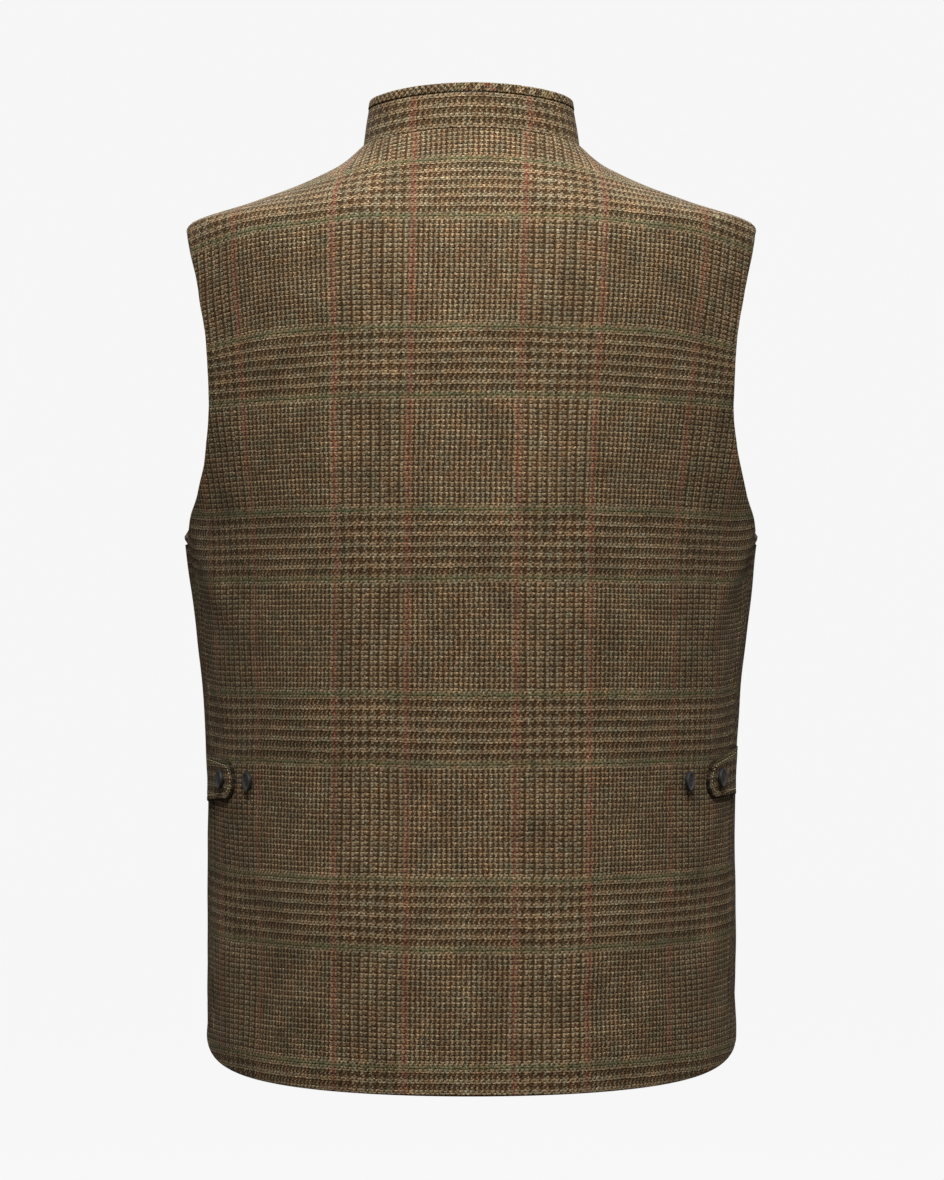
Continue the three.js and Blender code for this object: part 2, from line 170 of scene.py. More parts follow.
# Softer creases: drags from the armholes, ease over the hips, strain from tabs and buttons
SOFT_CREASES = table("turn level length width lean depth", [
    [52, -232, 44, 11, 30, 0.9],
    [58, -262, 38, 8, 36, -0.8],
    [-54, -226, 48, 12, -28, 0.8],
    [-60, -268, 36, 8, -38, -0.9],
    [-49, -300, 60, 13, -30, 0.6],
    [45, -312, 56, 12, 34, 0.6],
    [12, -60, 40, 20, 70, 0.5],
    [-15, -66, 46, 22, -72, 0.5],
    [70, -108, 30, 12, 60, -0.6],
    [-71, -104, 34, 13, -62, -0.6],
    [44, -505, 42, 9, 72, -0.7],
    [41, -474, 36, 8, 104, -0.6],
    [-44, -508, 44, 9, -70, -0.8],
    [-42, -471, 34, 8, -104, -0.6],
    [20, -560, 90, 18, 6, 0.7],
    [-18, -585, 84, 20, -5, 0.8],
    [38, -650, 50, 14, -8, 0.7],
    [-37, -655, 46, 13, 10, 0.7],
    [4, -640, 60, 20, 3, -0.6],
    [70, -420, 70, 11, 12, -0.8],
    [-71, -430, 76, 11, -10, -0.9],
    [70, -560, 60, 12, -14, 0.9],
    [-69, -570, 66, 12, 16, 1.0],
    [104, -420, 66, 13, -20, -1.0],
    [-106, -432, 70, 13, 22, -1.0],
    [122, -290, 46, 11, -50, 0.9],
    [-121, -284, 50, 11, 48, 0.9],
    [138, -240, 40, 13, -64, -0.8],
    [-137, -236, 42, 13, 62, -0.8],
    [164, -250, 26, 9, 84, 0.7],
    [-163, -352, 30, 9, -80, 0.8],
    [165, -458, 30, 9, 78, 0.8],
    [-166, -470, 26, 8, -96, 0.7],
    [160, -575, 34, 10, 70, 0.7],
    [-158, -590, 32, 10, -68, 0.7],
    [128, -600, 70, 18, 14, -1.1],
    [-126, -610, 74, 18, -12, -1.1],
    [148, -140, 34, 12, 50, 0.7],
    [-147, -146, 36, 12, -52, 0.7],
])

# Slow unevenness of hanging cloth: wave lengths in degrees and mm, phase and height
UNEVEN = table("round up phase depth", [
    [57, 260, 0.4, 0.32],
    [93, 150, 2.1, 0.26],
    [-69, 118, 4.4, 0.22],
    [39, -74, 1.3, 0.16],
    [-33, 92, 5.2, 0.14],
    [21.9, 47, 3.3, 0.09],
    [-18.3, 55, 0.9, 0.08],
])

# The twill: spacing and order of the threads, as counted on the cloth
WARP_PITCH = 0.945
WEFT_PITCH = 0.9845
# Threads of a repeat, by number: the coarse check of four and four, the fine one of two
# and two, and the second pair of the line, whose first pair starts the repeat
WARP_REPEAT, WARP_COARSE, WARP_FINE, WARP_LINE = 148, (5, 57), (66, 144), 62
WEFT_REPEAT, WEFT_COARSE, WEFT_FINE, WEFT_LINE = 140, (5, 49), (58, 136), 52
WARP_CENTRE = 106
CENTRE_SHIFT = 9.6
GREEN_LINE = 107.4
GREEN_START = 1.0 - GREEN_LINE / WEFT_PITCH
# Each cut's place in the repeat, in warp and weft threads, and its lean
CUTS = {
    "tweed_body": (WARP_CENTRE + CENTRE_SHIFT / WARP_PITCH, GREEN_START, 0.007),
    "tweed_front": (20.0, GREEN_START, 0.0),
    "tweed_collar": (106.0, 17.0, 0.0),
    "tweed_tab": (30.0, 40.0, 0.0),
    "tweed_binding": (90.0, 90.0, 0.0),
}


def smoothstep(value, low, high):
    """Smooth share from 0 at low to 1 at high: 3t2 - 2t3 of the clipped way t."""
    t = np.clip((np.asarray(value, float) - low) / (high - low), 0, 1)
    return t * t * (3 - 2 * t)


def column_at(rows, column, level):
    """Cubic through a column, with the harmonic mean of its slopes as tangents, so that it
    never swings past the rows, and with the end slopes at the ends."""
    x, y = rows["level"], rows[column]
    slope = np.diff(y) / np.diff(x)
    below, above = slope[:-1], slope[1:]
    turning = below * above <= 0
    inner = np.where(turning, 0, 2 * below * above / np.where(turning, 1, below + above))
    tangent = np.concatenate([slope[:1], inner, slope[-1:]])
    held = np.clip(level, x[0], x[-1])
    k = np.clip(np.searchsorted(x, held, side="left") - 1, 0, len(x) - 2)
    span = x[k + 1] - x[k]
    t = (held - x[k]) / span
    s = 1 - t
    return (
        y[k] * (1 + 2 * t) * s * s
        + y[k + 1] * (3 - 2 * t) * t * t
        + tangent[k] * span * t * s * s
        - tangent[k + 1] * span * t * t * s
    )


def fold_depth(folds, turn, level, half):
    """Sum over the folds of depth times exp(-(along / length)2 - (beside / width)2), where
    along and beside are the distances in the fold's own leaning axes."""
    total = np.zeros(np.broadcast(turn, level).shape)
    for at_turn, at_level, length, width, lean, depth in zip(*folds.values()):
        c, s = math.cos(math.radians(lean)), math.sin(math.radians(lean))
        across = (turn - at_turn) * half * QUARTER_RING / SHOULDER_SEAM
        up = level - at_level
        along, beside = up * c + across * s, across * c - up * s
        total = total + depth * np.exp(-((along / length) ** 2) - (beside / width) ** 2)
    return total


def unevenness(turn, level):
    """Sum of sine waves, each with its own length round the body and upwards."""
    total = np.zeros(np.broadcast(turn, level).shape)
    for around, up, phase, depth in zip(*UNEVEN.values()):
        total = total + depth * np.sin(2 * math.pi * (turn / around + level / up) + phase)
    quiet = smoothstep(level, -30, -90) * smoothstep(level, HEM, HEM + 10)
    return total * quiet


def body(level, turn):
    """Outer face of the cloth. Each quarter of a ring is one cubic curve from centre back or
    centre front to the side; its height blends from the centre's to the side's; folds,
    creases and unevenness move it out along the ellipse's normal."""
    level, turn = np.broadcast_arrays(np.asarray(level, float), np.asarray(turn, float))
    ring = {name: column_at(RINGS, name, level) for name in RINGS if name != "level"}
    hand = np.where(turn < 0, -1.0, 1.0)
    degrees = np.abs(turn)
    behind = degrees <= SHOULDER_SEAM
    t = np.where(behind, degrees, CENTRE_FRONT - degrees) / SHOULDER_SEAM
    end_full = ring["end_full"] + np.where(behind, 0, FRONT_FULLER)
    end_y = np.where(behind, ring["back_y"], ring["front_y"])
    s = 1 - t
    half = ring["half"]
    x = half * (3 * end_full * t * s * s + 3 * t * t * s + t**3)
    inward = 3 * t * t * s * (1 - ring["side_full"]) + t**3
    y = end_y + (ring["side_y"] - end_y) * inward
    end_height = np.where(behind, level, ring["front"])
    blend = 1 - smoothstep(np.abs(t), 0, 1)
    rise = HEM_RISE * (1 - smoothstep(level, HEM, HEM + HEM_RISE_FADE))
    z = ring["side"] + (end_height - ring["side"]) * blend + rise * np.abs(t) ** HEM_RISE_POWER
    out_x, out_y = x / half**2, (y - ring["side_y"]) / (end_y - ring["side_y"]) ** 2
    length = np.hypot(out_x, out_y)
    depth = fold_depth(LARGE_FOLDS, turn, level, half)
    depth = depth + fold_depth(SOFT_CREASES, turn, level, half) * smoothstep(level, 0, -40)
    depth = depth + unevenness(turn, level)
    x = x + out_x / length * depth
    y = y + out_y / length * depth
    return np.stack([hand * x, y, z], -1)


def unit(vectors):
    """The same directions with length 1."""
    return vectors / np.linalg.norm(vectors, axis=-1, keepdims=True)


def run_length(steps):
    """Distance from the start to each point of a line, from the lengths of its steps."""
    return np.concatenate([[0], np.cumsum(steps)])


def body_normal(level, turn, step=0.4):
    """Cross product of the steps round and up, level along the neckline."""
    up = body(np.minimum(level + step, NECKLINE), turn) - body(np.maximum(level - step, HEM), turn)
    normal = unit(np.cross(body(level, turn + step) - body(level, turn - step), up))
    normal[..., 2] *= 1 - smoothstep(level, NECKLINE - 12, NECKLINE)
    return unit(normal)


def body_point(level, turn, out):
    """Point at a distance out from the outer face along its normal."""
    level, turn = np.broadcast_arrays(np.asarray(level, float), np.asarray(turn, float))
    return body(level, turn) + body_normal(level, turn) * np.asarray(out, float)[..., None]


def speed(level, turn):
    """Millimetres of a ring in one degree of turn."""
    return np.linalg.norm(body(level, turn + 0.5) - body(level, turn - 0.5), axis=-1)


def walk(level, turn, distance, steps=24):
    """Turn that lies a distance further round the ring, in equal steps."""
    at = np.broadcast_arrays(np.asarray(turn, float), level)[0]
    for _ in range(steps):
        at = at + distance / steps / speed(level, at)
    return at


# Meshes


def grid_faces(rows, columns, start=0, flip=False):
    """Four corners of each cell of a grid of points, anticlockwise from outside."""
    at = start + np.arange(rows * columns).reshape(rows, columns)
    corners = [at[:-1, :-1], at[:-1, 1:], at[1:, 1:], at[1:, :-1]]
    if flip:
        corners.reverse()
    return np.stack([c.ravel() for c in corners], 1)


def add_piece(name, points, faces, uv, looks, marks=None):
    """Mesh of four-sided faces from arrays of points, faces and cloth coordinates in mm.
    Points that coincide are merged, which closes borders and poles."""
    mesh = bpy.data.meshes.new(name)
    mesh.vertices.add(len(points))
    mesh.vertices.foreach_set("co", (points * MILLIMETRE).astype(np.float32).ravel())
    mesh.loops.add(faces.size)
    mesh.loops.foreach_set("vertex_index", faces.astype(np.int32).ravel())
    mesh.polygons.add(len(faces))
    mesh.polygons.foreach_set("loop_start", np.arange(0, faces.size, 4, dtype=np.int32))
    mesh.update(calc_edges=True)
    layer = mesh.uv_layers.new(name="cloth")
    layer.data.foreach_set("uv", (uv * MILLIMETRE)[faces.ravel()].astype(np.float32).ravel())
    for mark, values in (marks or {}).items():
        attribute = mesh.attributes.new(mark, "FLOAT", "POINT")
        attribute.data.foreach_set("value", values.astype(np.float32).ravel())
    welded = bmesh.new()
    welded.from_mesh(mesh)
    bmesh.ops.remove_doubles(welded, verts=welded.verts, dist=1e-6)
    for face in welded.faces:
        face.smooth = True
    welded.to_mesh(mesh)
    welded.free()
    piece = bpy.data.objects.new(name, mesh)
    bpy.context.scene.collection.objects.link(piece)
    mesh.materials.append(looks)
    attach(piece, "root")
    return piece


def shell(name, outer, inner, uv, looks, marks=None):
    """Closed piece between two grids that meet along their borders."""
    rows, columns = outer.shape[:2]
    count = rows * columns
    points = np.concatenate([outer.reshape(-1, 3), inner.reshape(-1, 3)])
    faces = np.concatenate([grid_faces(rows, columns), grid_faces(rows, columns, count, True)])
    both = np.concatenate([uv.reshape(-1, 2)] * 2)
    doubled = {m: np.concatenate([v.ravel()] * 2) for m, v in (marks or {}).items()}
    return add_piece(name, points, faces, both, looks, doubled)


def draw_together(outer, inner, border):
    """Bring both faces' points to their middle along a border."""
    middle = (outer[border] + inner[border]) / 2
    outer[border] = middle
    inner[border] = middle


# Share of the rounding at which the columns and rows next to an edge lie: the middle of
# the edge, its two corners, then along the rounding. Columns far from it have FAR.
ROUNDING = np.array([0, 0.0005, 0.06, 0.2, 0.5, 1.0])
NEARNESS = np.array([-1, 0, 0.06, 0.2, 0.5, 1.0])
FAR = 9.0
# Further rows past the rounding of a hem and columns past that of a side, in mm
BESIDE_EDGE = np.array([2.2, 3.6])
BESIDE_SIDE = np.array([2.2, 3.6, 6, 8, 9, 9.4, 9.8, 10.1, 10.5, 11, 12.2])
# Width and height of the rounding along seams and turned edges
SEAM_REACH = 0.5
TURNED_REACH = 1.1
SEAM_ROUNDING = 0.3
NECK_ROUNDING = 0.1
SEAM_REST = 0.03
SLANT_AT_NECK = 1.2
# Turnings that show through: how wide they are and how far they lift the cloth
FACING = (7.5, 10)
FACING_LIFT = 0.28
HEM_TURN = (27, 31)
HEM_LIFT = 0.16
# Pressed groove beside each side seam: its distance from the seam, depth and half width
ALLOWANCE = 10.0
ALLOWANCE_DEPTH = 0.7
ALLOWANCE_HALF = 0.9
# Added to the distance from an edge that isn't in a side seam
NOT_SEWN = 99.0
PUCKER_FADE = 7.0
# How far the weft bends down at the shoulders' tips and along their slope, and how much
# the upper back is drawn up
TIP_DROOP, TIP_START, TIP_REACH, TIP_LEVELS = 7.5, 128.0, 64.0, (-197, -142)
SLOPE_DROOP, SLOPE_SPAN, SLOPE_LEVELS = 4.5, (75, 135), (-140, -95)
STRETCH, STRETCH_FROM = 0.0234, -324.0
# The mark "edge" is the distance in mm to a panel's edge, from which the tweed paints shade near
# edges, with this much added on panels to soften that painted shade
EDGE_MARGIN = 0.95
NO_EDGE = 20.0


def edge_drop(share):
    """How far the two faces draw together near an edge, from 1 at it to 0 at share 1: the
    quarter of a circle."""
    return 1 - np.sqrt(1 - (1 - np.clip(share, 0, 1)) ** 2)


def cloth_levels():
    """Heights of a panel's rows: close together at the hem, at the bottom and top of the
    armhole and at the neckline, and about 4 mm apart between."""
    hem = HEM + np.concatenate([ROUNDING * TURNED_REACH, BESIDE_EDGE])
    skirt = np.linspace(hem[-1], UNDERARM, 104)[1:]
    under = UNDERARM + np.array([0.4, 0.9, 1.5, 2.2, 3, 4, 5, 6, 7.5, 9, 11, 13.5, 16.5, 20])
    armhole = np.linspace(under[-1], SHOULDER_TIP - 8, 54)[1:]
    tip = SHOULDER_TIP + np.array([-6, -4, -2.6, -1.6, -0.9, -0.4, 0])
    neck = NECKLINE - np.concatenate([ROUNDING * SEAM_REACH, BESIDE_EDGE])[::-1]
    shoulder = np.linspace(SHOULDER_TIP, neck[0], 26)[1:-1]
    return np.concatenate([hem, skirt, under, armhole, tip, shoulder, neck])


def row_shares(levels):
    """Nearness of each row to the hem or the neckline, in roundings."""
    low = (levels - HEM) / TURNED_REACH
    high = (NECKLINE - levels) / SEAM_REACH
    shares = np.minimum(low, high)
    shares[0] = shares[-1] = NEARNESS[0]
    return shares


def edge_turn(levels, panel):
    """Side seam, armhole or shoulder seam, by the height."""
    armhole = column_at(ARMHOLE, panel, levels)
    return np.where(
        levels <= UNDERARM, SIDE_SEAM, np.where(levels >= SHOULDER_TIP, SHOULDER_SEAM, armhole)
    )


def armhole_share(levels):
    """1 along the armhole and 0 along the seams, blending over 4 mm."""
    low = smoothstep(levels, UNDERARM, UNDERARM + 4)
    return low * smoothstep(levels, SHOULDER_TIP, SHOULDER_TIP - 4)


def edge_slant(levels, edge):
    """Ring distance for 1 mm square to an edge: 1 / cosine of its slant, at most 7."""
    run = np.gradient(edge, levels) * speed(levels, edge)
    return np.minimum(np.hypot(1, run), 7)


def panel_turns(levels, edges, slants, reaches, columns):
    """Turns of a panel's grid: columns square to each edge at its rounding, then equal
    shares between. Also how near each column is to an edge, in roundings."""
    turns = []
    for edge, sign, slant, reach in zip(edges, (1, -1), slants, reaches):
        beside = np.repeat(BESIDE_SIDE[None], len(levels), 0)
        offsets = np.concatenate([reach[:, None] * ROUNDING, beside], 1)
        scale = slant / speed(levels, edge)
        turns.append(edge[:, None] + sign * offsets * scale[:, None])
    left, right = turns[0], turns[1][:, ::-1]
    share = np.linspace(0, 1, columns + 2)[1:-1]
    middle = left[:, -1:] + (right[:, :1] - left[:, -1:]) * share
    nearness = np.concatenate([NEARNESS, np.full(len(BESIDE_SIDE), FAR)])
    shares = np.concatenate([nearness, np.full(columns, FAR), nearness[::-1]])
    return np.concatenate([left, middle, right], 1), shares


def cloth_coordinates(levels, turns, centre, span):
    """Each point's place on the flat cloth. Across is the ring's length from the centre
    line. Along starts at the hem's height and grows, at a fixed place across, by the part of
    each step from ring to ring that is square to the ring."""
    result = np.zeros(turns.shape + (2,))
    offsets = np.linspace(0, span, 241)
    no_rise = np.zeros((1, 161))
    for sign in (1, -1):
        points = body(levels[:, None], centre + sign * offsets[None])
        lengths = np.cumsum(np.linalg.norm(np.diff(points, axis=1), axis=-1), 1)
        across = np.concatenate([np.zeros((len(levels), 1)), lengths], 1)
        reach = np.linspace(0, across.max(), no_rise.size)
        at = np.stack([np.interp(reach, row, offsets) for row in across])
        points = body(levels[:, None], centre + sign * at)
        ahead = np.gradient(points, axis=1)
        ahead = ahead / np.maximum(np.linalg.norm(ahead, axis=-1, keepdims=True), 1e-6)
        step = np.diff(points, axis=0)
        slide = (step * ahead[:-1]).sum(-1)
        rise = np.sqrt(np.maximum((step**2).sum(-1) - slide**2, 0))
        along = points[0, :, 2] - HEM + np.concatenate([no_rise, np.cumsum(rise, 0)])
        for i in range(len(levels)):
            chosen = (turns[i] - centre) * sign >= 0
            place = np.interp(np.abs(turns[i][chosen] - centre), offsets, across[i])
            result[i, chosen, 0] = sign * place
            result[i, chosen, 1] = np.interp(place, reach, along[i])
    return result


def pucker(levels, from_edge, seed):
    """Small uneven ripples along an edge's sewing, fading out over 14 mm: three sine waves
    of 7 to 17 mm along the edge."""
    random = np.random.default_rng(seed)
    phases = random.uniform(0, 2 * math.pi, 3)
    waves = sum(
        depth * np.sin(2 * math.pi * levels / length + phase)
        for depth, length, phase in zip((0.1, 0.08, 0.06), (16.7, 10.9, 7.3), phases)
    )
    return waves[:, None] * np.exp(-((from_edge / PUCKER_FADE) ** 2))


def shoulder_droop(levels, turns):
    """How far the weft lies below its flat place, as the upper back is drawn up over the
    shoulders. It bends down towards the shoulder's tip with the square of the distance
    outwards, and beside the neck it follows the shoulder's slope."""
    sideways = np.abs(body(levels, turns)[..., 0])
    outward = np.maximum(sideways - TIP_START, 0) / TIP_REACH
    tip = TIP_DROOP * outward**2 * smoothstep(levels, *TIP_LEVELS)
    slope = SLOPE_DROOP * smoothstep(sideways, *SLOPE_SPAN) * smoothstep(levels, *SLOPE_LEVELS)
    return tip + slope + STRETCH * np.maximum(levels - STRETCH_FROM, 0)


def panel_piece(name, edges, sewn, columns, centre, span, drop, seed, looks):
    """A body panel as a shell: the outer face is the body's, the inner face a wall behind
    it, drawn together along every edge as cloth turned in is. Its two side edges are turns
    by level, and sewn says which of them go into a side seam."""
    levels = cloth_levels()
    arm = armhole_share(levels)
    reach = SEAM_REACH + (TURNED_REACH - SEAM_REACH) * arm
    sides = [edge(levels) for edge in edges]
    slants, reaches = [], []
    for side, seam in zip(sides, sewn):
        slants.append(edge_slant(levels, side) if seam else np.ones(len(levels)))
        reaches.append(reach if seam else np.full(len(levels), TURNED_REACH))
    turns, shares = panel_turns(levels, sides, slants, reaches, columns)
    grid_levels = np.repeat(levels[:, None], turns.shape[1], 1)
    nearness = np.minimum(shares[None], row_shares(levels)[:, None])
    uv = cloth_coordinates(levels, turns, centre, span)
    uv[..., 1] += shoulder_droop(grid_levels, turns)
    across = uv[..., 0]
    from_first = np.abs(across - across[:, :1]) / slants[0][:, None]
    from_last = np.abs(across - across[:, -1:]) / slants[1][:, None]
    from_edge = np.minimum(from_first, from_last)
    facing = arm[:, None] * (1 - smoothstep(from_edge, *FACING)) * FACING_LIFT
    hem_turn = (1 - smoothstep(grid_levels - HEM, *HEM_TURN)) * HEM_LIFT
    out = np.maximum(facing, hem_turn) + pucker(levels, from_edge, seed)
    from_seam = np.where(
        across < across.mean(1, keepdims=True),
        from_first + NOT_SEWN * (not sewn[0]),
        from_last + NOT_SEWN * (not sewn[1]),
    )
    pressed = smoothstep(UNDERARM - grid_levels, 4, 16) * ALLOWANCE_DEPTH
    out = out - pressed * np.exp(-(((from_seam - ALLOWANCE) / ALLOWANCE_HALF) ** 2))
    out = out * smoothstep(nearness, 0, 1) - drop(grid_levels, turns)
    seams = np.where(arm > 0.5, 1, SEAM_ROUNDING)[:, None] * np.ones(turns.shape)
    middle = turns.shape[1] // 2
    for seam, half in zip(sewn, (np.s_[:, :middle], np.s_[:, middle:])):
        if not seam:
            seams[half] = 1
    ends = np.where(grid_levels > UNDERARM, NECK_ROUNDING, 1)
    round_share = np.where(row_shares(levels)[:, None] < shares[None], ends, seams)
    fall = edge_drop(nearness) * round_share * WALL / 2
    base = body(grid_levels, turns)
    normal = body_normal(grid_levels, turns)
    outer = base + normal * (out - fall)[..., None]
    inner = base + normal * (np.minimum(out, -drop(grid_levels, turns)) - WALL + fall)[..., None]
    inner[..., 2] -= SLANT_AT_NECK * (1 - smoothstep(NECKLINE - grid_levels, 0, 5))
    draw_together(outer, inner, nearness < 0)
    # Distance to the edge, which the tweed reads to paint shade along the panel's edges
    edge_mm = np.minimum(from_edge, grid_levels - HEM) + EDGE_MARGIN
    return shell(name, outer, inner, uv, looks, {"edge": edge_mm})


def gap_turn(levels, edge):
    """Rest of a seam's gap once the cloth is sewn, as degrees of turn."""
    return SEAM_REST / speed(levels, edge)


def back_edge(levels):
    """Turn of the back panel's edge, a little short of the seam."""
    edge = edge_turn(levels, "back")
    return edge - gap_turn(levels, edge)


def front_edge(levels):
    """Turn of a front panel's edge, a little past the seam."""
    edge = edge_turn(levels, "front")
    return edge + gap_turn(levels, edge)


def lap_turn(levels):
    """Turn at which a front ends, a lap past centre front."""
    return walk(levels, CENTRE_FRONT, LAP)


def lap_drop(levels, turns):
    """How far the right front lies behind the left one, fading out beside the lap."""
    x = body(levels, turns)[..., 0]
    return LAP_DROP * (1 - smoothstep(x, *LAP_DROP_SPAN))


def no_drop(levels, turns):
    """Panels that lie on the body's own form."""
    return np.zeros(turns.shape)


# Collar


def neck_lengths():
    """Length of the neckline from centre back to each of its turns."""
    turns = np.linspace(0, CENTRE_FRONT, 721)
    points = body(np.zeros(len(turns)), turns)
    steps = np.linalg.norm(np.diff(points, axis=0), axis=1)
    return turns, run_length(steps)


NECK_TURNS, NECK_LENGTHS = neck_lengths()
NECK_LENGTH = NECK_LENGTHS[-1]
COLLAR_END = NECK_LENGTH - COLLAR_END_GAP - BINDING_WIDTH - SEAM_GAP
COLLAR_WALL_HEIGHT = COLLAR_HEIGHT - BINDING_WIDTH - SEAM_GAP


def neck_turn(distance):
    """Turn at a distance from centre back along the neckline."""
    reach = np.minimum(np.abs(distance), NECK_LENGTH)
    return np.sign(distance) * np.interp(reach, NECK_LENGTHS, NECK_TURNS)


def collar_point(distance, height, out):
    """Point of the collar: along the neckline, above the seam, and out from the outer face,
    which leans in evenly towards the top."""
    distance, height, out = np.broadcast_arrays(distance, height, out)
    turn = neck_turn(distance)
    lean = COLLAR_LEAN * height / COLLAR_HEIGHT
    wave = 0.22 * np.sin(distance / 23 + 1.1) + 0.16 * np.sin(distance / 9.7 + 0.4)
    ease = wave * smoothstep(height, 2, 24)
    point = body(np.zeros(turn.shape), turn)
    point = point + body_normal(np.zeros(turn.shape), turn) * (out - lean + ease)[..., None]
    point[..., 2] += COLLAR_SEAM_GAP + height
    return point


def collar_outline(straight_steps=300, corner_steps=16):
    """Upper outline of the collar wall from its left end to its right end: a straight run
    with a quarter of a circle at each end. Gives distance, height and angle."""
    straight = COLLAR_END - COLLAR_CORNER
    angle = np.linspace(0, math.pi / 2, corner_steps + 1)[1:]
    corner = np.stack([
        straight + COLLAR_CORNER * np.sin(angle),
        COLLAR_WALL_HEIGHT - COLLAR_CORNER + COLLAR_CORNER * np.cos(angle),
        angle,
    ])
    top = np.stack([
        np.linspace(-straight, straight, straight_steps + 1),
        np.full(straight_steps + 1, COLLAR_WALL_HEIGHT),
        np.zeros(straight_steps + 1),
    ])
    mirrored = corner[:, ::-1] * np.array([[-1], [1], [-1]])
    return np.concatenate([mirrored, top, corner], 1)


def collar_piece(looks):
    """Stand collar as a shell: rows from the seam to the outline's height."""
    distance, height, _ = collar_outline()
    count = len(distance)
    near = np.concatenate([ROUNDING * SEAM_REACH, [1.6, 2.8]]) / COLLAR_WALL_HEIGHT
    rows = np.concatenate([near, np.linspace(near[-1], 1 - near[-1], 12)[1:-1], 1 - near[::-1]])
    row_near = np.minimum(rows, 1 - rows) * COLLAR_WALL_HEIGHT / SEAM_REACH
    row_near[0] = row_near[-1] = NEARNESS[0]
    end_near = np.full(count, FAR)
    grid_distance = np.repeat(distance[None], len(rows), 0)
    end_near[0] = end_near[-1] = NEARNESS[0]
    low = 2 * SEAM_REST - COLLAR_SEAM_GAP
    grid_height = low + rows[:, None] * (height - low)[None]
    nearness = np.minimum(row_near[:, None], end_near[None])
    round_share = np.where(rows < 0.5, NECK_ROUNDING, 1)[:, None]
    fall = edge_drop(nearness) * round_share * COLLAR_WALL / 2
    crown = 0.25 * np.sin(math.pi * rows)[:, None]
    slant = SLANT_AT_NECK * (1 - smoothstep(grid_height - low, 0, 5))
    outer = collar_point(grid_distance, grid_height, crown - fall)
    inner = collar_point(grid_distance, grid_height - slant, -COLLAR_WALL + fall)
    draw_together(outer, inner, nearness < 0)
    uv = np.stack([grid_distance / COLLAR_STRETCH, grid_height], -1)
    edge = np.full(grid_height.shape, NO_EDGE)
    piece = shell("tweed_collar", outer, inner, uv, looks, {"edge": edge})
    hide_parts("collar")
    return piece


def binding_section(inset):
    """Section of the folded strip, as distance past the collar wall's edge and out from the
    collar's face: up the outside, half an ellipse over the top, and down the inside."""
    half = COLLAR_WALL / 2 + BINDING_PROUD - inset
    straight = np.linspace(0, 1, 9)[:-1]
    shoulder = BINDING_WIDTH - BINDING_ROUND
    top = BINDING_WIDTH - inset - shoulder
    angle = np.linspace(0, math.pi, 15)
    away = np.concatenate([
        SEAM_GAP + (shoulder - SEAM_GAP) * straight,
        shoulder + top * np.sin(angle),
        shoulder + (SEAM_GAP - shoulder) * straight[1:],
        [SEAM_GAP],
    ])
    flat = np.full(len(straight), half)
    side = np.concatenate([flat, half * np.cos(angle), -flat])
    return away, side - COLLAR_WALL / 2


def binding_piece(looks):
    """Folded bias strip round the collar's edge, from neckline to neckline, as a thin shell
    in the shape of its section, a little uneven along its length."""
    distance, height, angle = collar_outline(420, 20)
    ends = [0, 4, 8]
    distance = np.pad(distance, len(ends), "edge")
    angle = np.pad(angle, len(ends), "edge")
    height = np.concatenate([ends, height, ends[::-1]])
    run = run_length(np.hypot(np.diff(distance), np.diff(height)))
    uneven = 0.1 * np.sin(run / 4.1) + 0.07 * np.sin(run / 1.9 + 2) + 0.08 * np.sin(run / 11 + 1)
    faces = []
    for inset in (0.0, BINDING_CLOTH):
        away, out = binding_section(inset)
        grow = 1 + 0.05 * uneven[None] * np.sin(math.pi * np.linspace(0, 1, len(away)))[:, None]
        grid_away = away[:, None] * grow
        swell = out[:, None] + COLLAR_WALL / 2
        grid_out = swell * (1 + 0.05 * uneven[None]) - COLLAR_WALL / 2
        faces.append(collar_point(
            distance[None] + grid_away * np.sin(angle)[None],
            height[None] + grid_away * np.cos(angle)[None],
            grid_out,
        ))
    outer, inner = faces
    for border in (np.s_[0], np.s_[-1], np.s_[:, 0], np.s_[:, -1]):
        draw_together(outer, inner, border)
    away, out = binding_section(0)
    around = run_length(np.hypot(np.diff(away), np.diff(out)))
    along, across = np.meshgrid(run, around)
    uv = np.stack([(along + across), (across - along)], -1) * math.sqrt(0.5)
    edge = np.full(along.shape, NO_EDGE)
    piece = shell("bias_binding", outer, inner, uv, looks, {"edge": edge})
    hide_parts("collar_binding")
    return piece


# Waist tabs

# Distances inside a tab's edge at which its rings lie
TAB_RINGS = np.array([
    0, 0, 0.08, 0.28, 0.6, 1.1, 1.7, 2.4, 3.0, 3.5,
    3.9, 4.3, 4.7, 5.1, 5.6, 6.3, 7.3, 8.8, 10.6, 12.8,
])
# A tab starts this far under the back's edge, in degrees
TAB_TUCK = 0.1


def tab_half(distance):
    """Half the tab's height: narrowing evenly, then a round end."""
    straight = TAB_SEAM_HALF + (TAB_NECK_HALF - TAB_SEAM_HALF) * distance / TAB_STRAIGHT
    past = np.clip((distance - TAB_STRAIGHT) / (TAB_LENGTH - TAB_STRAIGHT), 0, 1)
    return np.where(distance <= TAB_STRAIGHT, straight, TAB_NECK_HALF * np.sqrt(1 - past**2))


def tab_outline(steps):
    """Edge of the tab from its upper seam corner round the end to its lower seam corner, as
    distance from the seam and height from the middle line, with a spine to grow from."""
    run = np.linspace(0, TAB_STRAIGHT, steps)[:-1]
    angle = np.linspace(0, math.pi, 2 * steps + 1)
    distance = np.concatenate([
        run, TAB_STRAIGHT + (TAB_LENGTH - TAB_STRAIGHT) * np.sin(angle), run[::-1],
    ])
    up = np.concatenate([tab_half(run), TAB_NECK_HALF * np.cos(angle), -tab_half(run[::-1])])
    spine = np.minimum(distance, TAB_STRAIGHT)
    return distance, up, spine


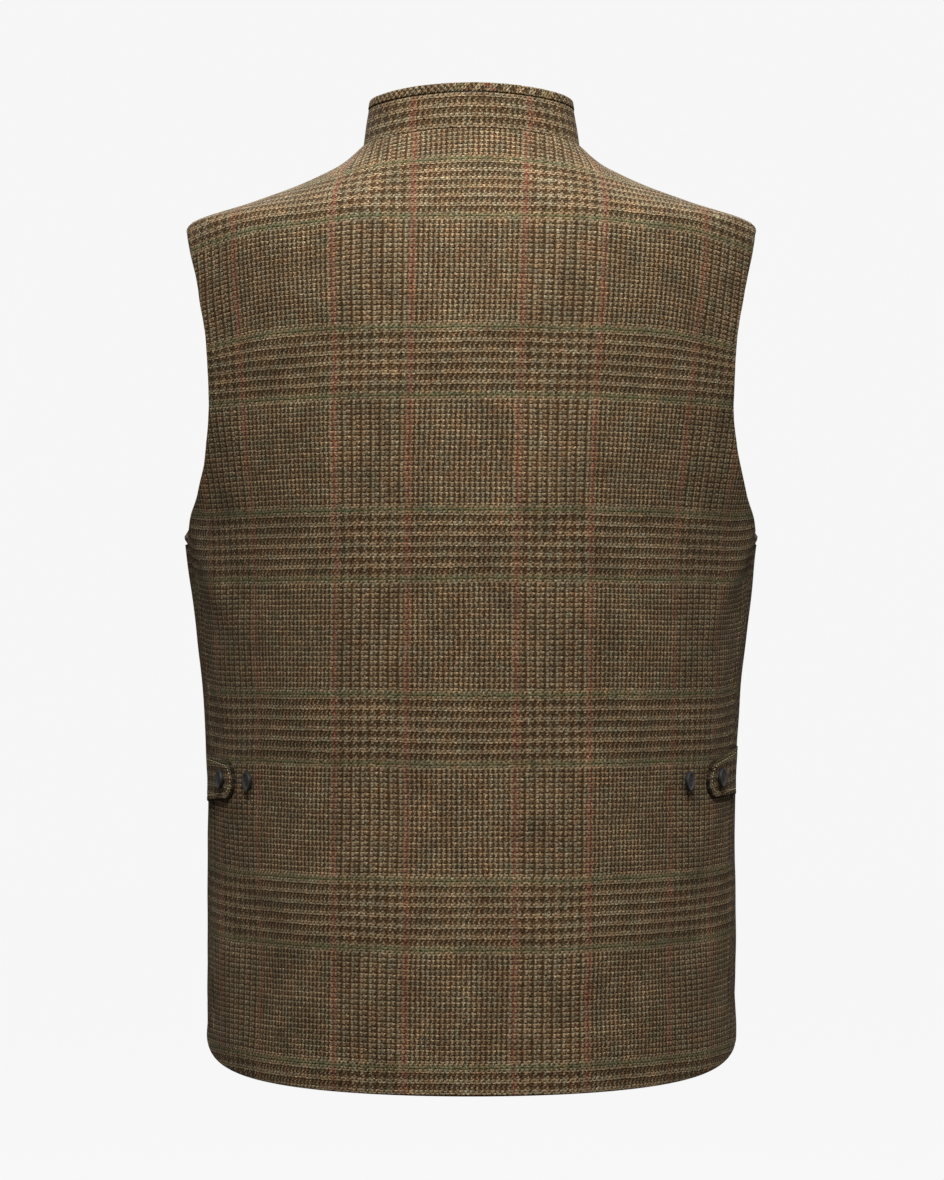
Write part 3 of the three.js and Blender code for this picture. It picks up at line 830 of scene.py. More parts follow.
def tab_point(tab, distance, up, out):
    """Point of a tab: its middle line goes from the seam's level to the tip's."""
    hand, seam_level, tip_level = TABS[tab]
    distance, up, out = np.broadcast_arrays(*(np.asarray(a, float) for a in (distance, up, out)))
    level = seam_level + (tip_level - seam_level) * distance / TAB_LENGTH + up
    turn = walk(level, back_edge(level) - TAB_TUCK, -distance)
    return body_point(level, hand * turn, out)


def tab_piece(tab, looks):
    """Waist tab: rings that grow from its spine to its edge. Its upper face is a pillow with
    a groove where the edge stitching draws it in, deepest where the thread goes through."""
    hand = TABS[tab][0]
    distance, up, spine = tab_outline(60)
    reach = np.hypot(distance - spine, up)
    grow = np.maximum(1 - TAB_RINGS[:, None] / reach[None], 0)
    grow = np.concatenate([grow, np.zeros((1, len(reach)))])
    from_edge = reach[None] * (1 - grow)
    grid_distance = spine[None] + (distance - spine)[None] * grow
    grid_up = up[None] * grow
    run = run_length(np.hypot(np.diff(distance), np.diff(up)))
    through = np.abs(np.cos(math.pi * (run - STITCH_START) / STITCH_PITCH)) ** 6
    groove = -np.exp(-(((from_edge - STITCH_INSET) / 0.75) ** 2)) * (0.22 + 0.38 * through[None])
    rim = np.clip(from_edge / 1.3, 0, 1)
    fall = edge_drop(rim) * TAB_WALL * 0.42
    sag = 0.12 * np.sin(grid_distance / 6.5 + 1) * np.sin(grid_up / 7.0)
    sag = sag - 0.1 * smoothstep(from_edge, 5, 14)
    upper = tab_point(tab, grid_distance, grid_up, TAB_CREST + groove + sag - fall)
    under = tab_point(tab, grid_distance, grid_up, TAB_LIFT + fall * 0.3)
    for border in (np.s_[0], np.s_[:, 0], np.s_[:, -1]):
        draw_together(upper, under, border)
    uv = np.stack([hand * grid_distance, grid_up], -1)
    first, second = (upper, under) if hand < 0 else (under, upper)
    # Distance to the tab's edge, which the tweed reads to paint a dark outline of shade round the
    # tab
    piece = shell(f"waist_tab_{tab}", first, second, uv, looks, {"edge": from_edge})
    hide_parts(f"tab_{tab}")
    return piece


def stitch_line(count):
    """Points of each stitch round a tab, an even distance inside its edge: distance from
    the seam and height from the middle line."""
    distance, up, spine = tab_outline(200)
    grow = 1 - STITCH_INSET / np.hypot(distance - spine, up)
    run = run_length(np.hypot(np.diff(distance), np.diff(up)))
    middles = np.arange(STITCH_START + STITCH_PITCH / 2, run[-1] - STITCH_START, STITCH_PITCH)
    at = middles[:, None] + np.linspace(-STITCH_HALF, STITCH_HALF, count)
    line = (spine + (distance - spine) * grow, up * grow)
    return [np.interp(at, run, part) for part in line]


def tubes(name, paths, normals, radius, looks, sides=6):
    """Short round threads as one piece. Each path is a row of points; its thickness follows
    half an ellipse, so that both ends close, and its rings turn about the given normals."""
    count, steps = paths.shape[:2]
    ahead = unit(np.gradient(paths, axis=1))
    side = unit(np.cross(ahead, normals))
    lift = np.cross(side, ahead)
    along = np.linspace(-1, 1, steps)
    thick = radius * np.sqrt(np.maximum(1 - np.abs(along) ** 4, 0))
    angle = np.linspace(0, 2 * math.pi, sides + 1)
    ring = (
        side[:, :, None] * np.cos(angle)[None, None, :, None]
        + lift[:, :, None] * np.sin(angle)[None, None, :, None]
    )
    points = paths[:, :, None] + ring * thick[None, :, None, None]
    faces = np.concatenate([
        grid_faces(steps, sides + 1, i * steps * (sides + 1)) for i in range(count)
    ])
    length = np.broadcast_to((along * 2)[None, :, None], points.shape[:3])
    around = np.broadcast_to(angle[None, None] * radius, points.shape[:3])
    uv = np.stack([length, around + 3 * np.arange(count)[:, None, None]], -1)
    return add_piece(name, points.reshape(-1, 3), faces, uv.reshape(-1, 2), looks)


def tab_stitches(looks):
    """Edge stitches of both tabs: each a thread that rises from one hole and dips into the
    next, 1 - t2 high."""
    threads = []
    distance, up = stitch_line(9)
    rise = 1 - np.linspace(-1, 1, 9)[None] ** 2
    out = TAB_CREST - STITCH_SUNK + STITCH_RISE * rise * np.ones_like(distance)
    for tab in TABS:
        path = tab_point(tab, distance, up, out)
        threads.append((path, unit(tab_point(tab, distance, up, out + 1) - path)))
    paths, normals = map(np.concatenate, zip(*threads))
    return tubes("tab_stitches", paths, normals, STITCH_RADIUS, looks)


# Horn buttons

# Rounding at the back and the front of the rim, and how wide and deep the dish is
BACK_RIM = (1.2, 1.1)
FRONT_RIM = 1.0
DISH_SHARE = 0.56
DISH_DEPTH = 1.1
WELL_DEPTH = 1.5
# Rows of the profile: between which the mark "rim", which paints shade near-black on the rim,
# fades, and the first of the dish
RIM_SHADE_ROWS = (11, 16)
DISH_ROW = 17
# Sewing of the buttons and of the buttonholes' bars
SEWING_SUNK = 1.9
SEWING_RISE = 1.25
SEWING_RADIUS = 0.2
BAR_START, BAR_LENGTH = 0.22, 1.35
BAR_SUNK, BAR_RISE = 0.2, 0.3
BAR_RADIUS = 0.34


def button_places():
    """Each button's level, turn, height of its back over the cloth, radius and lean in
    degrees, by node."""
    places = {}
    for tab, (hand, seam_level, tip_level) in TABS.items():
        reach = TAB_LENGTH - TAB_BUTTON_FROM_TIP
        low = TAB_LIFT + TAB_WALL + SEAM_GAP
        level = seam_level + (tip_level - seam_level) * reach / TAB_LENGTH
        turn = hand * walk(level, back_edge(level) - TAB_TUCK, -reach)
        lean = TAB_BUTTON_LEAN * hand
        places[f"tab_button_{tab}"] = (level, turn, low, SMALL_BUTTON_RADIUS, lean)
        turn = hand * walk(tip_level, SIDE_SEAM, -SPARE_FROM_SEAM[tab])
        lean = SPARE_BUTTON_LEAN * hand
        places[f"waist_button_{tab}"] = (tip_level, turn, SEAM_GAP, SMALL_BUTTON_RADIUS, lean)
    heights = FRONT_BUTTON_TOP - FRONT_BUTTON_PITCH * np.arange(FRONT_BUTTON_COUNT)
    tries = np.linspace(HEM, NECKLINE, 4000)
    levels = np.interp(heights, column_at(RINGS, "front", tries), tries)
    for number, level in enumerate(levels, 1):
        place = (level, -CENTRE_FRONT, SEAM_GAP, FRONT_BUTTON_RADIUS, 0.0)
        places[f"front_button_{number}"] = place
    return places


def button_frame(place):
    """Centre and the three directions of a button: sideways, up and out. A lean turns it
    about the upright, with its low rim kept clear of the cloth."""
    level, turn, low, radius, lean = place
    centre = body_point(level, turn, low)
    out = body_normal(level, turn)
    side = unit(np.cross([0.0, 0, 1], out))
    c, s = math.cos(math.radians(lean)), math.sin(math.radians(lean))
    leaned = out * c + side * s
    side = unit(np.cross([0.0, 0, 1], leaned))
    centre = centre + out * radius * abs(s)
    return centre, side, np.cross(leaned, side), leaned


def button_profile(radius):
    """Section of a button from the middle of its back round its rim to the middle of its
    dish, as distance from the axis and height: flat back, quarter circles at the rim,
    half a cosine down into the dish."""
    turned = np.linspace(0, math.pi / 2, 7)
    back = [[0, 0.2], [radius * 0.5, 0.12], [radius - 1.6, 0]]
    wide, high = BACK_RIM
    low_rim = np.stack([
        radius - wide + wide * np.sin(turned), high - high * np.cos(turned),
    ], -1)
    rim_start, crest = radius - FRONT_RIM, BUTTON_THICKNESS - FRONT_RIM
    high_rim = np.stack([
        rim_start + FRONT_RIM * np.cos(turned), crest + FRONT_RIM * np.sin(turned),
    ], -1)
    share = np.linspace(0, 1, 9)[1:]
    dish_end = radius * DISH_SHARE
    slope = np.stack([
        rim_start + (dish_end - rim_start) * share,
        BUTTON_THICKNESS - DISH_DEPTH / 2 * (1 - np.cos(math.pi * share)),
    ], -1)
    floor_radius = np.linspace(dish_end, 0, 30)[1:]
    crown = 0.1 * (1 - (floor_radius / dish_end) ** 2)
    floor = np.stack([floor_radius, BUTTON_THICKNESS - DISH_DEPTH + crown], -1)
    return np.concatenate([back, low_rim, high_rim, slope, floor])


def button_piece(name, place, looks):
    """Four-hole horn button turned on a lathe: the profile round its axis, with the holes
    sunk as smooth wells."""
    radius = place[3]
    centre, side, up, out = button_frame(place)
    profile = button_profile(radius)
    angle = np.linspace(0, 2 * math.pi, 85)
    x = profile[:, :1] * np.cos(angle)[None]
    y = profile[:, :1] * np.sin(angle)[None]
    height = np.repeat(profile[:, 1:], len(angle), 1)
    front = np.arange(len(profile)) >= DISH_ROW
    spacing, hole = HOLE_SPACING * radius, HOLE_RADIUS * radius
    nearest = np.minimum.reduce([
        np.hypot(x - i * spacing, y - j * spacing) for i in (-1, 1) for j in (-1, 1)
    ])
    well = 1 - smoothstep(nearest, hole * 0.85, hole * 1.15)
    height = height - WELL_DEPTH * well * front[:, None]
    points = centre + x[..., None] * side + y[..., None] * up + height[..., None] * out
    uv = np.stack([x, y], -1)
    rows, columns = x.shape
    # Painted shade: the mark "rim" makes the rim's wall near-black, where it lies in shade
    rim = np.repeat(1 - smoothstep(np.arange(rows), *RIM_SHADE_ROWS)[:, None], columns, 1)
    piece = add_piece(
        f"horn_{name}", points.reshape(-1, 3), grid_faces(rows, columns), uv.reshape(-1, 2),
        looks, {"rim": rim},
    )
    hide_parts(name)
    return piece


def button_threads(looks):
    """Sewing of the buttons: three strands over each pair of holes, each 1 - t4 high."""
    paths, normals = [], []
    t = np.linspace(-1, 1, 11)
    for place in button_places().values():
        radius = place[3]
        centre, side, up, out = button_frame(place)
        spacing = HOLE_SPACING * radius
        for row in (-1, 1):
            for strand in (-1, 0, 1):
                across = (spacing + 0.12) * np.sign(t) * np.abs(t) ** 0.6
                crest = SEWING_RISE + 0.1 * (strand == 0)
                rise = BUTTON_THICKNESS - SEWING_SUNK + crest * (1 - t**4)
                beside = row * spacing + strand * 0.3
                paths.append(
                    centre + across[:, None] * side + beside * up + rise[:, None] * out
                )
                normals.append(np.broadcast_to(out, (len(t), 3)))
    paths, normals = np.array(paths), np.array(normals)
    return tubes("button_threads", paths, normals, SEWING_RADIUS, looks)


def buttonhole_bars(point, length):
    """Paths and normals of the bars of one buttonhole: point gives a place on the cloth from
    along, beside and out. Bars stand square to the slit on both its sides and fan round
    its ends."""
    half = length / 2
    along = np.arange(-half, half + 0.01, BAR_PITCH)
    fan = np.linspace(0, math.pi, 8)[1:-1]
    foot_along = np.concatenate([along, along, half + 0 * fan, -half + 0 * fan])
    angle = np.concatenate([
        np.full(len(along), math.pi / 2), np.full(len(along), -math.pi / 2),
        math.pi / 2 - fan, math.pi / 2 + fan,
    ])
    t = np.linspace(0, 1, 6)
    reach = BAR_START + BAR_LENGTH * t
    places_along = foot_along[:, None] + np.cos(angle)[:, None] * reach[None]
    places_beside = np.sin(angle)[:, None] * reach[None]
    rise = BAR_RISE * np.sin(math.pi * (0.15 + 0.85 * t))
    out = 0.02 + rise[None] * np.ones_like(places_along)
    low = point(places_along, places_beside, out)
    return low, unit(point(places_along, places_beside, out + 1) - low)


def buttonhole_pieces(looks):
    """Buttonholes of the tabs and of the left front, as one piece of many bars. The button's
    shank stands near the end that the pull brings to it."""
    bars = []
    for tab in TABS:
        middle = TAB_LENGTH - TAB_BUTTON_FROM_TIP - SMALL_HOLE / 2 + 2
        crest = TAB_LIFT + TAB_WALL - BAR_SUNK

        def on_tab(along, beside, out):
            return tab_point(tab, middle + along, beside, crest + out)

        bars.append(buttonhole_bars(on_tab, SMALL_HOLE))
    for name, place in button_places().items():
        if not name.startswith("front"):
            continue
        level = place[0]
        middle = FRONT_HOLE / 2 - 3

        def on_front(along, beside, out):
            per_degree = float(speed(level, -CENTRE_FRONT))
            turn = -CENTRE_FRONT + (middle + along) / per_degree
            return body_point(level + beside, turn, out)

        bars.append(buttonhole_bars(on_front, FRONT_HOLE))
    paths, normals = map(np.concatenate, zip(*bars))
    return tubes("buttonhole_stitches", paths, normals, BAR_RADIUS, looks)


# Studio, in metres up to the cove, which is in millimetres

CAMERA_PLACE = (0, -2.8095, -0.413)
CAMERA_LENS = 112.07
CAMERA_SHIFT = (0.0004, 0.0763)
# Place, target and diameter of each light
KEY_LIGHT = ((0.1, -1.95, 1.25), (0, 0, -0.1), 1.2)
TOP_LIGHT = ((0, -0.2, 1.9), (0, 0, 0), 1.2)
FAR_LIGHT = ((-0.1, 1.7, 1.2), (0, 0, -0.3), 1.2)
COVE_RADIUS, COVE_HEIGHT, COVE_FLOOR = 8000, 9000, -1050
# Shares of the way from the floor's middle to the top at which the floor turns up and the
# wall starts to close
TURN_UP, CLOSE = 0.4, 0.7


def camera_piece():
    """Camera level with the waist, straight behind, with the horizon below the middle."""
    data = bpy.data.cameras.new("camera")
    data.sensor_fit = "AUTO"
    data.sensor_width = 36
    data.lens = CAMERA_LENS
    data.shift_x, data.shift_y = CAMERA_SHIFT
    data.clip_start = 0.1
    data.clip_end = 100
    camera = bpy.data.objects.new("camera", data)
    camera.location = CAMERA_PLACE
    camera.rotation_euler = (math.pi / 2, 0, 0)
    bpy.context.scene.collection.objects.link(camera)
    bpy.context.scene.camera = camera


def soft_light(name, place, target, size, power):
    """Round area light turned to its target."""
    data = bpy.data.lights.new(name, "AREA")
    data.shape = "DISK"
    data.size = size
    data.energy = power
    light = bpy.data.objects.new(name, data)
    light.location = place
    light.rotation_euler = (Vector(target) - Vector(place)).to_track_quat("-Z", "Y").to_euler()
    bpy.context.scene.collection.objects.link(light)


def cove_piece(looks):
    """Round floor that turns up into a wall and closes overhead, seen only by the camera."""
    turn, along = np.meshgrid(np.linspace(0, 2 * math.pi, 49), np.linspace(0, 1, 41))
    swing = np.clip((along - TURN_UP) / (1 - TURN_UP), 0, 1) * math.pi
    closing = np.clip((along - CLOSE) / (1 - CLOSE), 0, 1)
    radius = COVE_RADIUS * np.where(along < TURN_UP, along / TURN_UP, np.sqrt(1 - closing**2))
    rise = COVE_FLOOR + COVE_HEIGHT * np.sin(swing / 2) ** 2
    points = np.stack([radius * np.cos(turn), radius * np.sin(turn), rise], -1)
    mesh = bpy.data.meshes.new("pale_cove")
    corners = (points.reshape(-1, 3) * MILLIMETRE).tolist()
    mesh.from_pydata(corners, [], grid_faces(*turn.shape).tolist())
    mesh.materials.append(looks)
    cove = bpy.data.objects.new("pale_cove", mesh)
    bpy.context.scene.collection.objects.link(cove)
    for ray in ("visible_diffuse", "visible_glossy", "visible_transmission", "visible_shadow"):
        setattr(cove, ray, False)


# Looks


class Wire:
    """A value on its way through a shader tree. Arithmetic on it adds Math nodes."""

    def __init__(self, looks, socket):
        self.looks = looks
        self.socket = socket

    def maths(self, operation, *values):
        return self.looks.node("ShaderNodeMath", {"operation": operation}, dict(enumerate(values)))

    def __add__(self, other):
        return self.maths("ADD", self, other)

    __radd__ = __add__

    def __sub__(self, other):
        return self.maths("SUBTRACT", self, other)

    def __rsub__(self, other):
        return self.maths("SUBTRACT", other, self)

    def __mul__(self, other):
        return self.maths("MULTIPLY", self, other)

    def __truediv__(self, other):
        return self.maths("DIVIDE", self, other)

    def __mod__(self, other):
        return self.maths("MODULO", self, other)

    def __abs__(self):
        return self.maths("ABSOLUTE", self)

    def __lt__(self, other):
        return self.maths("LESS_THAN", self, other)

    def __gt__(self, other):
        return self.maths("GREATER_THAN", self, other)

    def floor(self):
        return self.maths("FLOOR", self)

    def at_least(self, low):
        return self.maths("MAXIMUM", self, low)

    def within(self, low, high):
        """1 where low <= value < high, for whole numbers."""
        return (self > low - 0.5) * (self < high - 0.5)


class Looks:
    """A material under construction."""

    def __init__(self, name):
        self.material = bpy.data.materials.new(name)
        self.material.use_nodes = True
        self.tree = self.material.node_tree
        self.shader = self.tree.nodes["Principled BSDF"]

    def node(self, kind, settings=None, inputs=None, output=0):
        """New node of a type: its settings first, then its sockets' values or links."""
        made = self.tree.nodes.new(kind)
        for key, value in (settings or {}).items():
            setattr(made, key, value)
        for key, value in (inputs or {}).items():
            self.join(made.inputs[key], value)
        return Wire(self, made.outputs[output])

    def join(self, socket, value):
        if isinstance(value, Wire):
            self.tree.links.new(value.socket, socket)
        else:
            socket.default_value = value

    def set(self, **inputs):
        """Sockets of the surface shader, by name with _ for a space."""
        for key, value in inputs.items():
            self.join(self.shader.inputs[key.replace("_", " ")], value)

    def noise(self, vector, scale, detail, rough, output=0, dimensions="3D"):
        """Noise about 0.5 with so many waves in a metre: its value, or its colour as 1."""
        return self.node(
            "ShaderNodeTexNoise",
            {"noise_dimensions": dimensions},
            {"Vector": vector, "Scale": scale, "Detail": detail, "Roughness": rough},
            output,
        )

    def flat_noise(self, vector, scale, detail, rough, output=0):
        return self.noise(vector, scale, detail, rough, output, "2D")

    def random(self, x, y):
        """An even random number from 0 to 1 for a pair of whole numbers."""
        pair = {"Vector": self.vector(x, y)}
        return self.node("ShaderNodeTexWhiteNoise", {"noise_dimensions": "2D"}, pair)

    def vector(self, x, y):
        return self.node("ShaderNodeCombineXYZ", None, {0: x, 1: y})

    def parts(self, vector):
        """First and second part of a vector."""
        return [self.node("ShaderNodeSeparateXYZ", None, {0: vector}, i) for i in (0, 1)]

    def cloth_place(self):
        """Place on the flat cloth, in metres."""
        return self.node("ShaderNodeUVMap", {"uv_map": "cloth"})

    def mark(self, name):
        """A mark of the mesh, as a number."""
        return self.node("ShaderNodeAttribute", {"attribute_name": name}, None, 2)

    def scaled(self, vector, factor):
        inputs = {0: vector, "Scale": factor}
        return self.node("ShaderNodeVectorMath", {"operation": "SCALE"}, inputs)

    def bump(self, strength, distance, height):
        inputs = {"Strength": strength, "Distance": distance, "Height": height}
        return self.node("ShaderNodeBump", None, inputs)

    def mix(self, factor, first, second, blend="MIX"):
        settings = {"data_type": "RGBA", "blend_type": blend, "clamp_factor": True}
        return self.node("ShaderNodeMix", settings, {0: factor, 6: first, 7: second}, 2)


def colour(rgb):
    """Linear colour with alpha from numbers of 0 to 255 on a screen."""
    share = np.array(rgb, float) / 255
    linear = np.where(share <= 0.04045, share / 12.92, ((share + 0.055) / 1.055) ** 2.4)
    return (*linear.tolist(), 1.0)


def dark_threads(number, coarse, fine):
    """The dark threads of a repeat, by number: groups of four, then groups of two."""
    fours = number.within(*coarse) * (((number + 3) % 8.0) < 3.5)
    return fours + number.within(*fine) * (((number + 2) % 4.0) < 1.5)


def line_threads(number, second):
    """The two pairs of coloured threads of a repeat."""
    return (number < 1.5) + number.within(second, second + 2)


def beside_lines(number, second, repeat):
    """The two threads on each side of both coloured pairs."""
    found = number.within(2, 4)
    for first in (repeat - 2, second - 2, second + 2):
        found = found + number.within(first, first + 2)
    return found


# Noise of the tweed, in waves for each metre of cloth, and how far it moves the threads
DRIFT_WAVES, DRIFT = 11.0, 2.6
JITTER_WAVES, JITTER = 210.0, 2.0
SLOW_WAVES, PATCH_WAVES, WOOLLY_WAVES, FIBRE_WAVES = 75.0, 34.0, 620.0, 2400.0
# Tints between which the cloth changes slowly
WARM_TINT = (1.08, 0.975, 0.9, 1)
COOL_TINT = (0.94, 1.02, 1.05, 1)
# The check narrows and leans above this height over the hem, in metres
NARROWS_FROM = 0.45


def tweed_looks(name, shift_u, shift_v, skew):
    """Twill of light and dark threads in a traditional check with rust and green lines.
    Warp shows where (warp - weft + 2) mod 4 is 0 or 1. Each thread is rounded across and at the
    ends of its floats, with shade painted darker at its sides and float ends, and its colour
    varies from thread to thread and along it. Shade is also painted in the last millimetre before
    an edge."""
    settings = bpy.context.scene.waistcoat_cloth
    looks = Looks(name)
    place = looks.cloth_place()
    u, v = looks.parts(place)
    drift_u, drift_v = looks.parts(looks.flat_noise(place, DRIFT_WAVES, 1.0, 0.5, 1))
    jitter_u, jitter_v = looks.parts(looks.flat_noise(place, JITTER_WAVES, 3.0, 0.6, 1))
    high = (v - NARROWS_FROM).at_least(0.0) * (skew > 0)
    straight = (u - v * skew - high * 0.018) * (1 - high * 0.18) * (1000 / WARP_PITCH)
    # Whole repeats are added so that all numbers are positive
    u_threads = straight + (4 * WARP_REPEAT + shift_u)
    u_threads = u_threads + (drift_u - 0.5) * DRIFT + (jitter_u - 0.5) * JITTER
    v_threads = v * (1000 / WEFT_PITCH) + (8 * WEFT_REPEAT + shift_v)
    v_threads = v_threads + (drift_v - 0.5) * DRIFT + (jitter_v - 0.5) * JITTER
    i, k = u_threads.floor(), v_threads.floor()
    warp_over = ((i - k + 4002) % 4.0) < 1.5
    weft_over = 1 - warp_over
    a, b = i % float(WARP_REPEAT), k % float(WEFT_REPEAT)
    warp_dark = dark_threads(a, WARP_COARSE, WARP_FINE)
    weft_dark = dark_threads(b, WEFT_COARSE, WEFT_FINE)
    warp_rust = line_threads(a, WARP_LINE)
    weft_green = line_threads(b, WEFT_LINE)
    beside_rust = beside_lines(a, WARP_LINE, WARP_REPEAT)
    beside_green = beside_lines(b, WEFT_LINE, WEFT_REPEAT)
    dark = warp_over * warp_dark + weft_over * weft_dark
    rust = warp_over * warp_rust
    green = weft_over * weft_green

    # The wefts' numbers start far from the warps', so that no two threads are alike
    thread = warp_over * i + weft_over * (k + 1700)
    run = warp_over * v + weft_over * u
    lot = looks.random(thread, 3.0)
    second_lot = looks.random(thread, 11.0)
    slub = looks.flat_noise(looks.vector(thread * 0.73, run * 170.0), 1.0, 2.0, 0.6)
    fibre = looks.flat_noise(place, FIBRE_WAVES, 2.0, 0.7)
    patch = looks.flat_noise(place, PATCH_WAVES, 3.0, 0.6)
    tone = looks.flat_noise(looks.vector(thread * 0.31, run * 46.0), 1.0, 1.0, 0.5)

    hue = (tone - 0.5) * 2.0 + 0.5
    light_colour = looks.mix(hue, colour(settings.light_warm), colour(settings.light_cool))
    dark_colour = looks.mix(second_lot, colour(settings.dark_brown), colour(settings.dark_olive))
    cloth = looks.mix(dark, light_colour, dark_colour)
    cloth = looks.scaled(cloth, weft_over + warp_over * (dark + 0.74))
    slow = (looks.flat_noise(place, SLOW_WAVES, 2.0, 0.6) - 0.5) * 3.2 + 0.5
    cloth = looks.mix(1.0, cloth, looks.mix(slow, WARM_TINT, COOL_TINT), "MULTIPLY")
    rusty = rust * 0.74 + warp_rust * weft_over * 0.3 + beside_rust * 0.24
    cloth = looks.mix(rusty * (tone * 0.7 + 0.5), cloth, colour(settings.rust))
    greenish = green * 0.68 + weft_green * warp_over * 0.32 + beside_green * 0.15
    cloth = looks.mix(greenish, cloth, colour(settings.green))
    fleck = looks.random((i * 0.5).floor(), (k * 0.5).floor())
    cloth = looks.mix((fleck > 0.985) * 0.22, cloth, colour(settings.fleck))
    cloth = looks.mix((fleck < 0.012) * 0.25, cloth, colour(settings.green_fleck))

    fraction_u, fraction_v = u_threads - i, v_threads - k
    across = abs((warp_over * fraction_u + weft_over * fraction_v) * 2 - 1)
    float_warp = abs(((i + v_threads) % 4.0) - 1)
    float_weft = abs(((k + u_threads) % 4.0) - 3)
    ends = warp_over * float_warp + weft_over * float_weft
    height = (1 - across * across) * (1 - ends * ends * 0.55)
    woolly = looks.flat_noise(place, WOOLLY_WAVES, 3.0, 0.65)
    grain = looks.random(i, k + 0.5)
    # Painted shade: height darkens each thread towards its sides and the ends of its floats, where
    # it rounds away; the other factors are the yarn's own tone
    value = (height * 0.3 + 0.75) * (slub * 1.1 + 0.45) * (lot * 0.24 + 0.88)
    value = value * (fibre * 0.7 + 0.65) * (patch * 0.9 + 0.55)
    value = value * (woolly * 2.3 - 0.15) * (grain * 0.6 + 0.7)
    # Painted shade: darker in the last millimetre before an edge, standing in for the shade on the
    # wall where the cloth turns in and on the tabs' thick edges
    clamped = {"operation": "ADD", "use_clamp": True}
    near = looks.node("ShaderNodeMath", clamped, {0: looks.mark("edge") / 0.9, 1: -0.78})
    value = value * (near * near * (3 - near * 2) * 0.82 + 0.18)
    shaded = looks.scaled(cloth, value.at_least(0.1))
    bump = looks.bump(0.55, 0.00022, height * 0.75 + fibre * 0.3 + slub * 0.35)
    looks.set(Base_Color=shaded, Normal=bump, Roughness=0.86 + fibre * 0.12)
    looks.set(Sheen_Weight=0.08, Sheen_Roughness=0.45, Specular_IOR_Level=0.12)
    looks.set(Sheen_Tint=(0.62, 0.55, 0.44, 1))
    return looks.material


def tweed(name):
    """The tweed of one cut, made on first use."""
    return bpy.data.materials.get(name) or tweed_looks(name, *CUTS[name])


def horn_looks():
    """Polished dark horn: nearly black, with brown streaks along the grain, a bluish-grey painted
    sheen in clouds, and painted shade near-black on the rim.
    """
    looks = Looks("dark_horn")
    place = looks.node("ShaderNodeTexCoord", None, None, 3)
    streaks = {0: place, 1: (190.0, 190.0, 620.0)}
    stretched = looks.node("ShaderNodeVectorMath", {"operation": "MULTIPLY"}, streaks)
    grain = looks.noise(stretched, 1.0, 4.0, 0.6)
    painted_sheen_cloud = looks.noise(place, 120.0, 2.0, 0.5)
    fine = looks.noise(place, 2600.0, 2.0, 0.5)
    base = looks.mix(grain, colour((46, 45, 47)), colour((84, 79, 75)))
    # Painted sheen: bluish-grey clouds in the colour stand in for the pale studio reflected in the
    # face
    base = looks.mix(painted_sheen_cloud * 0.6, base, colour((76, 82, 88)))
    rim = looks.mark("rim")
    # Painted shade: the rim near-black, as its wall lies in shade beside the cloth
    base = looks.mix(rim, base, colour((9, 7, 7)))
    bump = looks.bump(0.2, 0.0001, grain + fine * 0.3)
    roughness = rim * 0.12 + 0.4 + fine * 0.16
    looks.set(Base_Color=base, Roughness=roughness, Normal=bump, Coat_Weight=0.05)
    return looks.material


def thread_looks(name, rgb):
    """Twisted sewing thread: slanting plies with shade painted in their grooves, and a loose fibre
    here and there.
    """
    looks = Looks(name)
    place = looks.cloth_place()
    u, v = looks.parts(place)
    ply = abs(((u + v) * 1500 % 1.0) - 0.5) * 2
    fibre = looks.flat_noise(place, 2600.0, 3.0, 0.6)
    darker = colour([value * 0.8 for value in rgb])
    lighter = colour([min(value * 1.12, 255) for value in rgb])
    # Painted shade: the colour is darker in the groove between plies
    shaded = looks.scaled(looks.mix(fibre, darker, lighter), ply * 0.45 + 0.62)
    bump = looks.bump(0.4, 0.0001, ply + fibre * 0.4)
    looks.set(Base_Color=shaded, Roughness=0.6 + fibre * 0.2, Normal=bump, Sheen_Weight=0.15)
    return looks.material


class WaistcoatCloth(bpy.types.PropertyGroup):
    """Colours of the threads, as they look on a screen."""

    light_warm: bpy.props.IntVectorProperty(
        name="Light thread, warm", description="Warm side of the light threads, 0 to 255",
        size=3, min=0, max=255, default=(158, 134, 103))
    light_cool: bpy.props.IntVectorProperty(
        name="Light thread, cool", description="Cool side of the light threads, 0 to 255",
        size=3, min=0, max=255, default=(149, 134, 106))
    dark_brown: bpy.props.IntVectorProperty(
        name="Dark thread, brown", description="Brown side of the dark threads, 0 to 255",
        size=3, min=0, max=255, default=(71, 48, 29))
    dark_olive: bpy.props.IntVectorProperty(
        name="Dark thread, olive", description="Olive side of the dark threads, 0 to 255",
        size=3, min=0, max=255, default=(66, 53, 32))
    rust: bpy.props.IntVectorProperty(
        name="Rust line", description="Rust warp line, 0 to 255",
        size=3, min=0, max=255, default=(132, 58, 42))
    green: bpy.props.IntVectorProperty(
        name="Green line", description="Green weft line, 0 to 255",
        size=3, min=0, max=255, default=(60, 82, 44))
    fleck: bpy.props.IntVectorProperty(
        name="Fleck", description="Sparse rust flecks in the yarn, 0 to 255",
        size=3, min=0, max=255, default=(158, 92, 56))
    green_fleck: bpy.props.IntVectorProperty(
        name="Green fleck", description="Sparse green flecks in the yarn, 0 to 255",
        size=3, min=0, max=255, default=(84, 104, 66))
    edge_thread: bpy.props.IntVectorProperty(
        name="Edge thread", description="Light thread of the tabs' edge stitches, 0 to 255",
        size=3, min=0, max=255, default=(190, 174, 134))
    button_thread: bpy.props.IntVectorProperty(
        name="Button thread", description="Dark thread of buttons and buttonholes, 0 to 255",
        size=3, min=0, max=255, default=(74, 58, 40))


